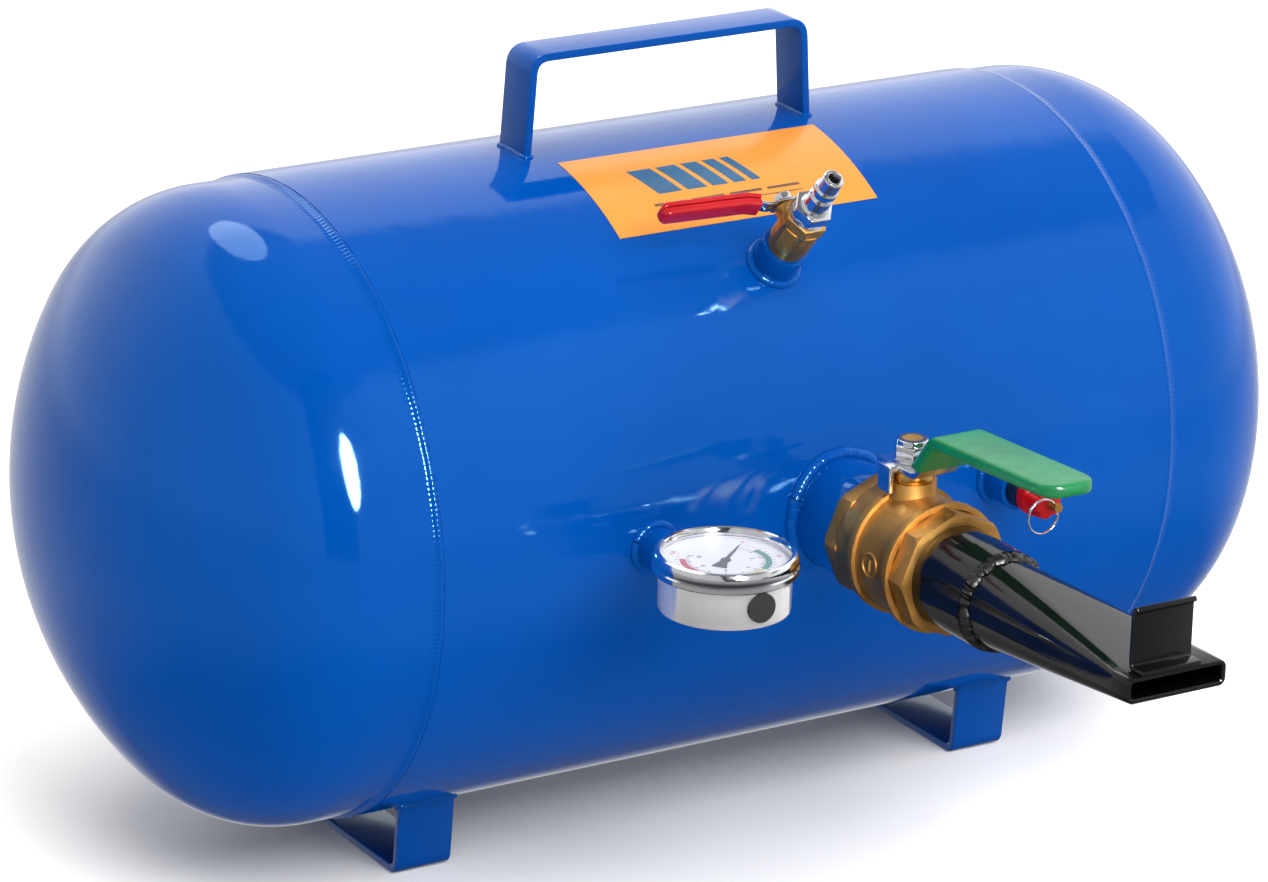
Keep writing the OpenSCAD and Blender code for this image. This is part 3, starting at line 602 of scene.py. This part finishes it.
top_half = HANDLE_HALF - LEG_SPLAY - BAR_T / 2
handle_path = arc_path([(-HANDLE_HALF + BAR_T / 2, TANK_R - MM), (-top_half, HANDLE_TOP - BAR_T / 2),
                        (top_half, HANDLE_TOP - BAR_T / 2), (HANDLE_HALF - BAR_T / 2, TANK_R - MM)], 8.5 * MM)
painted("carry_handle_bar", bar(handle_path, HANDLE_W, BAR_T, TANK), "carry_handle")
painted("handle_weld_beads",
        joined([weld(leg_loop(s * (HANDLE_HALF - BAR_T / 2), 0, BAR_T, HANDLE_W, True), 1.5 * MM,
                     lump=0.06, seed=s, wander=0.2) for s in (-1, 1)]), "handle_welds")

ground_z = foot_low.z
for side_name, sign in (("left", -1), ("right", 1)):
    foot_frame = TANK @ Matrix.Translation((sign * FOOT_X, 0, 0)) @ Matrix.Rotation(math.pi / 2, 4, "Z")
    low_half = FOOT_HALF - LEG_LEAN - BAR_T / 2
    leg_top = -math.sqrt(TANK_R ** 2 - FOOT_HALF ** 2)
    foot_path = arc_path([(-FOOT_HALF + BAR_T / 2, leg_top + MM), (-low_half, ground_z + BAR_T / 2),
                          (low_half, ground_z + BAR_T / 2), (FOOT_HALF - BAR_T / 2, leg_top + MM)], 5.5 * MM)
    painted(f"foot_{side_name}_strap", bar(foot_path, FOOT_W, BAR_T, foot_frame), f"foot_{side_name}")
painted("foot_weld_beads",
        joined([weld(leg_loop(s * FOOT_X, f * (FOOT_HALF - BAR_T / 2), FOOT_W, BAR_T, False), 1.6 * MM,
                     lump=0.06, seed=s + 3 * f, wander=0.2) for s in (-1, 1) for f in (-1, 1)]),
        "foot_welds")

# ---- Welds round the ports ----------------------------------------------


def port_loop(matrix, radius, rise=0.0):
    """The line where a pipe of the given radius meets the shell, in the row frame."""
    offset = matrix.translation.z - AXIS_Z
    loop = []
    for i in range(120):
        angle = 2 * math.pi * i / 120
        x, y = radius * math.cos(angle), radius * math.sin(angle)
        loop.append(matrix @ Vector((x, y, math.sqrt(TANK_R ** 2 - (y + offset) ** 2) + rise)))
    return loop


for name, matrix, bead in (("outlet", OUTLET, 3.4), ("gauge", GAUGE_PORT, 2.3), ("relief", RELIEF, 2.3),
                           ("inlet", INLET, 2.3)):
    boss = "outlet_stub" if name == "outlet" else f"{name}_boss"
    low, high = local_box(boss, matrix)
    loop = port_loop(matrix, high.x + 0.15 * bead * MM, 0.1 * bead * MM)
    bead_mesh = weld(loop, bead * MM, pitch=2.8 * MM, lump=0.05, seed=len(name), wander=0.06)
    painted(f"{name}_weld_bead", bead_mesh, f"{name}_weld")
    eased(boss, 0.5 * MM)

# ---- Label print --------------------------------------------------------

LABEL_R = max(math.hypot(v.co.y - AXIS_Y, v.co.z - AXIS_Z)
              for v in frame["nodes"]["label"].data.vertices)
PRINT_T = 0.06 * MM


def printed(x0, x1, angle0, angle1, slant=0.0):
    """A thin slanted patch on the label, between two heights given as angles above the horizontal."""
    under, over = LABEL_R - PRINT_T, LABEL_R + PRINT_T
    rings = []
    for k in range(9):
        angle = math.radians(angle0 + (angle1 - angle0) * k / 8)
        shift = slant * (k / 8 - 0.5)
        rings.append([Vector(((x + shift) * MM, -r * math.cos(angle), r * math.sin(angle)))
                      for x, r in ((x0, under), (x1, under), (x1, over), (x0, over))])
    return skin(rings, TANK)


def label_bars():
    """Five slanted bars that thin out to the right."""
    bars, x = [], -38
    for width in (13, 11, 9, 7, 5):
        bars.append(printed(x, x + width, 67.5, 75.0, -7))
        x += width + 3
    return bars


rules = [printed(x, x + 18, 64.5, 65.1) for x in (-41, -20, 1, 22)] + [printed(-41, 40, 63.2, 63.4)]
piece("label_print_bars", joined(label_bars()), PRINT_BLUE, "tank")
piece("label_print_rules", joined(rules), PRINT_GREY, "tank")

# ---- Outlet valve -------------------------------------------------------

stem_low, stem_high = local_box("outlet_stem", OUTLET)
STEM_D = (stem_low.z + stem_high.z) / 2        # from the tank's axis out to the stem
STEM = OUTLET @ Matrix.Translation((0, 0, STEM_D)) @ Matrix.Rotation(-math.pi / 2, 4, "X")


def cast_mark(body_r, y0, z0, size):
    """A plain raised ring with a bar across it, cast on the side of the valve body."""
    def spot(y, z):
        return OUTLET @ Vector((-math.sqrt((body_r + 0.1 * MM) ** 2 - y ** 2), y, z))

    ring = [spot(y0 + size * math.sin(a), z0 + size * math.cos(a))
            for a in (2 * math.pi * k / 40 for k in range(40))]
    across = [spot(y0 + size * 0.5 * (k / 6 - 1), z0) for k in range(13)]
    return [wire(ring, 0.7 * MM, True), wire(across, 0.7 * MM)]


eased("outlet_valve_body", 0.8 * MM, segments=3, detail=cast_mark(29.5 * MM, MM, 223 * MM, 5.5 * MM))
eased("outlet_end_adapter", 0.6 * MM, segments=3)
eased("outlet_gland", 0.5 * MM, BRIGHT_BRASS)
eased("outlet_lever", 0.7 * MM, segments=3)
eased("outlet_washer", 0.25 * MM)
eased("outlet_nut", 0.6 * MM, segments=3)

nut_top = local_box("outlet_nut", STEM)[1].z
insert = mm((4.9, -1), (6.8, -1), (6.8, 0.1), (6.5, 0.3), (4.9, 0.3))
piece("outlet_nut_insert", lathe([(r, nut_top + z) for r, z in insert], STEM, 48),
      NYLON, BODY_OF["outlet_nut"])

TIP_STEPS = 16
BLUNTNESS = 2.6                                # 2 is a round tip, more is squarer


def sleeve(path, width, thickness, edge, tip, groove=None):
    """A dipped vinyl sleeve along a flat lever: soft edges, a blunt round tip and an open end."""
    tip_start = path[-1]
    direction = (path[-1] - path[-2]).normalized()
    points = [(p, width / 2, thickness / 2) for p in path]
    for k in range(1, TIP_STEPS + 1):
        along = math.sin(math.pi / 2 * k / TIP_STEPS)
        half = width / 2 * (1 - along ** BLUNTNESS) ** (1 / BLUNTNESS)
        left = tip * (1 - along)
        rim = thickness / 2
        if left < rim:
            rim = math.sqrt(rim ** 2 - (rim - left) ** 2)
        points.append((tip_start + direction * tip * along, max(half, 0.4 * MM), max(rim, 0.3 * MM)))

    def section(i):
        w, t = points[i][1], points[i][2]
        soft = min(edge, w * 0.9, t * 0.9)
        outline = [(-w, -t), (w, -t), (w, t), (-w, t)]
        radii = [soft] * 4
        if groove:
            depth, cut = min(groove, w * 0.5), t * 0.16
            outline = [(-w, -t), (w, -t), (w, -2 * cut), (w - depth, -cut), (w, 0), (w, t), (-w, t)]
            radii = [soft, soft, cut, cut * 0.4, cut, soft, soft]
        return rounded(outline, radii, 5)

    return swept([p for p, w, t in points], section, lambda tangent: Vector((1, 0, 0)))


def bent(points, radius, steps=10, dense=6):
    """A path through (out, up) points with round bends, in the plane of a lever."""
    path = rounded(points, radius, steps, closed=False)
    result = []
    for a, b in zip(path, path[1:]):
        result += [a.lerp(b, k / dense) for k in range(dense)]
    return result + [path[-1]]


grip_low, grip_high = local_box("outlet_grip", OUTLET)
GRIP_W = grip_high.x - grip_low.x
GRIP_T = 6.4 * MM
TIP = GRIP_W / 2
BEND_Y = grip_high.y - 8.2 * MM
grip_path = bent([(0, grip_low.y + 2.2 * MM, grip_low.z + 1.6 * MM), (0, BEND_Y, STEM_D + 34.5 * MM),
                  (0, BEND_Y + 4.4 * MM, grip_high.z - TIP)], 7 * MM)
grip_rings = sleeve(grip_path, GRIP_W, GRIP_T, 2.4 * MM, TIP)
piece("outlet_grip_sleeve", skin(grip_rings, OUTLET), GREEN, BODY_OF["outlet_grip"],
      ["outlet_grip"])

# ---- Nozzle -------------------------------------------------------------

flare_low, flare_high = local_box("nozzle_flare", OUTLET)
FLARE_R = 21.2 * MM
FLARE_T = 2.2 * MM
MOUTH_W = flare_high.x - flare_low.x
MOUTH_H = 12 * MM
MOUTH_RISE = 8 * MM
MOUTH_CORNER = 3.5 * MM
MOUTH_FLAT = 14 * MM                           # the straight stretch behind the mouth
ROUND_FLAT = 3 * MM                            # the straight stretch at the round end


def flare_ring(z, inset):
    """The flare's outline at a height: each direction runs straight from the round end to the mouth."""
    r = FLARE_R - inset
    corner = max(MOUTH_CORNER - inset, 1.5 * MM)
    ring = []
    for quarter in range(4):
        for k in range(13):
            angle = math.radians(90 * quarter + 90 * k / 12)
            facing = Vector((math.cos(angle), math.sin(angle)))
            sx, sy = (1, -1, -1, 1)[quarter], (1, 1, -1, -1)[quarter]
            start = facing * r
            end = Vector((sx * (MOUTH_W / 2 - inset - corner),
                          MOUTH_RISE + sy * (MOUTH_H / 2 - inset - corner))) + facing * corner
            if end.dot(facing) > r:
                span = (flare_low.z, flare_high.z - MOUTH_FLAT)
            else:
                span = (flare_low.z + ROUND_FLAT, flare_high.z)
            t = min(max((z - span[0]) / (span[1] - span[0]), 0), 1)
            point = start.lerp(end, t)
            ring.append(Vector((point.x, point.y, z)))
    return ring


def flare():
    """The pipe's flattened end, hollow, with a rounded lip."""
    back, front = flare_low.z, flare_high.z
    stops = [back + (front - MOUTH_FLAT - back) * k / 12 for k in range(13)]
    lip = mm((0.5, 0), (0.1, 0.2), (0, 0.6), (0, 1.7)) + [(0.4 * MM, FLARE_T)]
    rings = [flare_ring(z, 0) for z in stops]
    rings += [flare_ring(front - behind, inset) for behind, inset in lip]
    rings += [flare_ring(z, FLARE_T) for z in reversed(stops)]
    return skin(rings, OUTLET, closed=True)


piece("nozzle_flare_shape", flare(), BLACK, "tank", ["nozzle_flare"])
weld_low, weld_high = local_box("nozzle_weld", OUTLET)
weld_z = (weld_low.z + weld_high.z) / 2 - 0.6 * MM
rough_ring = []
for k in range(180):
    x, y = math.cos(2 * math.pi * k / 180), math.sin(2 * math.pi * k / 180)
    drift = 0.9 * MM * noise.noise(Vector((3 * x, 3 * y, 4)))
    rough_ring.append(OUTLET @ Vector(((FLARE_R - 0.2 * MM) * x, (FLARE_R - 0.2 * MM) * y, weld_z + drift)))
rough_weld = weld(rough_ring, 4.5 * MM, pitch=4.1 * MM, lump=0.12, seed=5, flat=0.62, wander=0.22, grit=0.24)
piece("nozzle_weld_bead", rough_weld, WELD_BLACK, "tank", ["nozzle_weld"])
eased("rim_hook", 0.5 * MM)

# ---- Inlet valve --------------------------------------------------------

eased("inlet_valve_body", 0.35 * MM)
eased("inlet_lever", 0.3 * MM)
eased("inlet_nut", 0.3 * MM)
eased("inlet_coupler", 0.25 * MM)
body_top = local_box("inlet_valve_body", INLET)[1].z
threads = [(7.5, 0)]
for k in range(4):
    threads += [(8.5, 0.55 * k), (9.1, 0.55 * k + 0.27)]
threads.append((7.5, 2.2))
piece("inlet_coupler_threads", lathe([(r * MM, body_top + z * MM) for r, z in threads], INLET, 64),
      CHROME, "tank")

red_low, red_high = local_box("inlet_grip", INLET)
RED_W = red_high.z - red_low.z
RED_END = red_low.x
LEVER_PLANE = (INLET @ Matrix.Translation((0, 0, (red_low.z + red_high.z) / 2))
               @ Matrix.Rotation(-math.pi / 2, 4, "Y"))
red_path = bent([(0, red_low.y + 2.8 * MM, 14.5 * MM), (0, red_high.y - 4.3 * MM, 21 * MM),
                 (0, red_high.y - 3.0 * MM, -RED_END - RED_W / 2)], 5 * MM)
red_rings = sleeve(red_path, RED_W, 6.8 * MM, 2.4 * MM, RED_W / 2, groove=1.4 * MM)
piece("inlet_grip_sleeve", skin(red_rings, LEVER_PLANE), RED, BODY_OF["inlet_grip"],
      ["inlet_grip"])

# ---- Gauge --------------------------------------------------------------

case_low, case_high = local_box("gauge_case", GAUGE)
lens_low, lens_high = local_box("gauge_lens", GAUGE)
CASE_R = case_high.x
TOP = local_box("gauge_bezel", GAUGE)[1].z
DIAL_Z = local_box("gauge_dial", GAUGE)[1].z
BEZEL = [(33.2, -9.5), (33.7, -8.9), (33.7, -6.8), (33.0, -6.2), (33.2, -5.2), (33.7, -3.6), (33.4, -1.8),
         (32.6, -0.5), (31.3, 0), (30.2, -0.4), (29.4, -1.6), (29.2, -3), (29.2, -3.5), (30.75, -3.5),
         (30.75, -9.5)]
piece("gauge_bezel_ring", lathe([(r * MM, TOP + z * MM) for r, z in BEZEL], GAUGE, 128), CHROME,
      BODY_OF["gauge_bezel"], ["gauge_bezel"])
wall = CASE_R - 1 * MM
case_profile = [(0, case_low.z), (CASE_R - 1.6 * MM, case_low.z), (CASE_R - 0.5 * MM, case_low.z + 0.5 * MM),
                (CASE_R, case_low.z + 1.6 * MM), (CASE_R, case_high.z), (wall, case_high.z),
                (wall, case_low.z + MM), (0, case_low.z + MM)]
piece("gauge_case_cup", lathe(case_profile, GAUGE, 128, closed=False), GAUGE_STEEL,
      BODY_OF["gauge_case"], ["gauge_case"])
lens_r = CASE_R - 0.1 * MM
lens_profile = [(0, lens_low.z), (lens_r, lens_low.z), (lens_r, lens_high.z - 0.3 * MM),
                (CASE_R - 0.5 * MM, lens_high.z), (0, lens_high.z)]
piece("gauge_lens_disc", lathe(lens_profile, GAUGE, 128, closed=False), GLASS,
      BODY_OF["gauge_lens"], ["gauge_lens"])

INK_SUNK = 0.05 * MM                           # how far the print starts inside the dial
ARC_INK = 0.03 * MM                            # how far it stands proud
TICK_INK = 0.05 * MM
ZERO, SWEEP = 40.0, 270.0                      # the scale runs clockwise from here


def scale_angle(part):
    """The direction of a place on the scale, given as a part of the whole."""
    return ZERO - SWEEP * part


def arc_band(r0, r1, start, end):
    """A flat printed arc on the dial, from one angle round to a lower one."""
    low, high = DIAL_Z - INK_SUNK, DIAL_Z + ARC_INK
    return lathe([(r0 * MM, low), (r1 * MM, low), (r1 * MM, high), (r0 * MM, high)], GAUGE,
                 48, start=end, turn=start - end)


def tick(r0, r1, angle, width):
    """A printed mark of the scale between two radii."""
    a = math.radians(angle)
    out = Vector((math.cos(a), math.sin(a), 0))
    side = Vector((-math.sin(a), math.cos(a), 0)) * width * MM / 2
    down, up = Vector((0, 0, -INK_SUNK)), Vector((0, 0, TICK_INK))
    rings = []
    for r in (r0, r1):
        centre = out * r * MM + Vector((0, 0, DIAL_Z))
        rings.append([centre + side + down, centre - side + down, centre - side + up, centre + side + up])
    return skin(rings, GAUGE)


def numeral(text, radius, angle, size):
    """A number on the dial, upright for someone reading from the front of the tank."""
    curve = bpy.data.curves.new("numeral", "FONT")
    curve.body = text
    curve.size = size * MM
    curve.align_x, curve.align_y = "CENTER", "CENTER"
    curve.extrude = 0.04 * MM
    curve.resolution_u = 3
    holder = bpy.data.objects.new("numeral", curve)
    bpy.context.scene.collection.objects.link(holder)
    bpy.context.view_layer.update()
    mesh = bpy.data.meshes.new_from_object(holder.evaluated_get(bpy.context.evaluated_depsgraph_get()))
    bpy.data.objects.remove(holder)
    bpy.data.curves.remove(curve)
    a = math.radians(angle)
    place = Matrix.Translation((radius * MM * math.cos(a), radius * MM * math.sin(a), DIAL_Z + 0.02 * MM))
    mesh.transform(GAUGE @ place @ Matrix.Rotation(a - math.pi / 2, 4, "Z"))
    return mesh


def dial_numbers(step, radius, size):
    """Six numbers, evenly spread over the scale."""
    return joined([numeral(str(step * k), radius, scale_angle(k / 5), size) for k in range(6)])


piece("dial_green_arc", arc_band(18.2, 21.2, 15, -60), DIAL_GREEN, "tank")
piece("dial_yellow_arc", arc_band(18.6, 20.4, -60.5, -125), DIAL_YELLOW, "tank")
piece("dial_red_arc", arc_band(18.2, 21.0, -125.5, -214), DIAL_RED, "tank")
marks = []
for k in range(51):
    inner, width = (15.4, 0.5) if k % 5 == 0 else (16.6, 0.28)
    marks.append(tick(inner, 18.2, scale_angle(k / 50), width))
marks += [tick(21.6, 23.0, scale_angle(k / 30), 0.3) for k in range(31)]
piece("dial_marks", joined(marks), NEEDLE, "tank")
piece("dial_inner_numbers", dial_numbers(2, 12.6, 3.2), NEEDLE, "tank")
piece("dial_outer_numbers", dial_numbers(30, 25.4, 3.4), DIAL_RED, "tank")

# ---- Relief valve -------------------------------------------------------

eased("relief_body", 0.3 * MM)
cap_low, cap_high = local_box("relief_cap", RELIEF)


def relief_cap():
    """A pull cap: a plain collar, then a front with scalloped sides."""
    base, tip = cap_low.z, cap_high.z
    stops = [(6.8, base, 0), (9.2, base, 0), (9.4, base + 0.3 * MM, 0), (9.4, base + 4.9 * MM, 0),
             (9.1, base + 5.5 * MM, 0.03), (8.6, base + 6.3 * MM, 0.12), (8.5, tip - 4 * MM, 0.16),
             (8.0, tip - 1.6 * MM, 0.17), (7.0, tip - 0.5 * MM, 0.14), (5.5, tip, 0.06), (0.0, tip, 0)]
    rings = []
    for r, z, dent in stops:
        ring = []
        for k in range(96):
            a = 2 * math.pi * k / 96
            radius = r * MM * (1 - dent * max(0.0, math.cos(5 * a)) ** 2)
            ring.append(Vector((radius * math.cos(a), radius * math.sin(a), z)))
        rings.append(ring)
    return skin(rings, RELIEF)


piece("relief_cap_knob", relief_cap(), RED_CAP, BODY_OF["relief_cap"], ["relief_cap"])

ring_low, ring_high = local_box("relief_ring", RELIEF)
RING_WIRE = (ring_high.z - ring_low.z) / 2
ring_mid = (ring_low + ring_high) / 2
RING_R = (ring_high.x - ring_low.x) / 2 - RING_WIRE
split = []
for k in range(145):
    angle = 4 * math.pi * k / 144
    split.append(RELIEF @ (ring_mid + Vector((RING_R * math.cos(angle), RING_R * math.sin(angle),
                                              (k / 144 - 0.5) * 1.5 * RING_WIRE))))
piece("relief_split_ring", wire(split, 0.62 * RING_WIRE), CHROME, BODY_OF["relief_ring"],
      ["relief_ring"])

# ---- Studio -------------------------------------------------------------

FLOOR_HALF = 12.0
CENTRE = Vector((0, AXIS_Y, AXIS_Z))
LEFT_HEAD = Vector((-0.23, 0.05, 0.2))
WALL_SHADES = ((0.17, 0.1), (0.28, 0.55), (0.45, 0.6), (0.5, 1.0), (0.872, 1.0), (0.895, 0.26))
BRIGHT_WALL = (0.7, 0.7, 0)                    # behind the tank, on the right
FLAG_AIM = Vector((-0.253, -0.828, 0.5))
FLAG_AWAY, FLAG_HALF_W, FLAG_HALF_H = 2.5, 0.62, 1.6
LAMPS = (                                      # name, target, place, size, watts, lights the scene
    ("overhead", CENTRE, Vector((0.1, 0.0, 3.3)), (4.2, 4.2), 150, True),
    ("front", CENTRE, Vector((0.3, -2.6, 2.4)), (3.0, 1.6), 130, True),
    ("strip", LEFT_HEAD, LEFT_HEAD + Vector((-0.12, -1.96, 1.0)), (0.42, 1.0), 110, False),
    ("window", LEFT_HEAD, LEFT_HEAD + Vector((0.1, 1.36, 2.1)), (0.85, 1.1), 9.0, False))
LENS, SENSOR = 165.5, 36
HEADING, DOWN, ROLL = (math.radians(angle) for angle in (31.90, 19.53, 1.535))
EYE = (-1.4350, -2.1598, 1.1308)


def panel(name, corners, surface):
    """A flat rectangle of the studio."""
    mesh = bpy.data.meshes.new(name)
    mesh.from_pydata(corners, [], [(0, 1, 2, 3)])
    mesh.materials.append(surface.material)
    obj = bpy.data.objects.new(name, mesh)
    bpy.context.scene.collection.objects.link(obj)
    return obj


def floor():
    """A plain pale floor. The paint mirrors the surround's dark lower half in its place."""
    surface = Surface("floor", Roughness=0.7, Specular_IOR_Level=0.2)
    shades = (0.3, (0.95, 0.93, 0.895, 1)), (0.7, (0.93, 0.91, 0.875, 1))
    surface.colour(surface.ramp(surface.noise(2, 3), *shades))
    half = FLOOR_HALF
    obj = panel("floor", [(-half, -half, 0), (half, -half, 0), (half, half, 0), (-half, half, 0)], surface)
    obj.visible_glossy = False


def surround():
    """White walls that are brighter behind the tank, a dark ceiling and a dark lower half."""
    world = bpy.data.worlds.new("studio")
    world.use_nodes = True
    tree = world.node_tree
    background = tree.nodes["Background"]
    direction = tree.nodes.new("ShaderNodeTexCoord").outputs["Generated"]
    split_up = tree.nodes.new("ShaderNodeSeparateXYZ")
    tree.links.new(direction, split_up.inputs["Vector"])
    walls = tree.nodes.new("ShaderNodeValToRGB")
    fill_ramp(walls, [(position, (shade, shade, shade, 1)) for position, shade in WALL_SHADES])
    tree.links.new(mapped(tree, split_up.outputs["Z"], -1, 1, 0, 1), walls.inputs["Fac"])
    tree.links.new(walls.outputs["Color"], background.inputs["Color"])
    towards = tree.nodes.new("ShaderNodeVectorMath")
    towards.operation = "DOT_PRODUCT"
    towards.inputs[1].default_value = BRIGHT_WALL
    tree.links.new(direction, towards.inputs[0])
    strength = mapped(tree, towards.outputs["Value"], -0.35, 0.65, 0.65, 1.35)
    tree.links.new(strength, background.inputs["Strength"])
    bpy.context.scene.world = world


def lamps():
    """Two wide lamps that light the scene, and two that only show as highlights in the paint."""
    for name, target, place, size, power, lights in LAMPS:
        lamp = bpy.data.lights.new(name, "AREA")
        lamp.shape = "RECTANGLE" if lights else "ELLIPSE"
        lamp.size, lamp.size_y = size
        lamp.energy = power
        obj = bpy.data.objects.new(name, lamp)
        obj.location = place
        obj.rotation_euler = (target - place).to_track_quat("-Z", "Y").to_euler()
        obj.visible_camera = False
        obj.visible_diffuse = lights
        obj.visible_glossy = not lights
        bpy.context.scene.collection.objects.link(obj)


def flag():
    """A dark panel that only shows in the paint, beside the strip's highlight."""
    black = Surface("flag", Roughness=0.9, Specular_IOR_Level=0.0)
    black.colour(black.ramp(black.noise(3, 2), (0.3, (0.02, 0.02, 0.02, 1)), (0.7, (0.03, 0.03, 0.03, 1))))
    across = FLAG_AIM.cross(Vector((0, 0, 1))).normalized() * FLAG_HALF_W
    up = across.cross(FLAG_AIM).normalized() * FLAG_HALF_H
    corners = [LEFT_HEAD + FLAG_AIM * FLAG_AWAY + across * a + up * b
               for a, b in ((-1, -1), (1, -1), (1, 1), (-1, 1))]
    obj = panel("flag", corners, black)
    obj.visible_camera = obj.visible_diffuse = obj.visible_shadow = obj.visible_transmission = False


def camera():
    """A low three-quarter view through a long lens, with a touch of roll."""
    data = bpy.data.cameras.new("camera")
    data.lens = LENS
    data.sensor_width = SENSOR
    obj = bpy.data.objects.new("camera", data)
    forward = Vector((math.sin(HEADING) * math.cos(DOWN), math.cos(HEADING) * math.cos(DOWN),
                      -math.sin(DOWN)))
    obj.rotation_mode = "QUATERNION"
    obj.rotation_quaternion = (forward.to_track_quat("-Z", "Y")
                               @ Matrix.Rotation(ROLL, 3, "Z").to_quaternion())
    obj.location = EYE
    bpy.context.scene.collection.objects.link(obj)
    bpy.context.scene.camera = obj


floor()
surround()
lamps()
flag()
camera()
bpy.context.scene.view_settings.view_transform = "Standard"

bpy.context.view_layer.update()
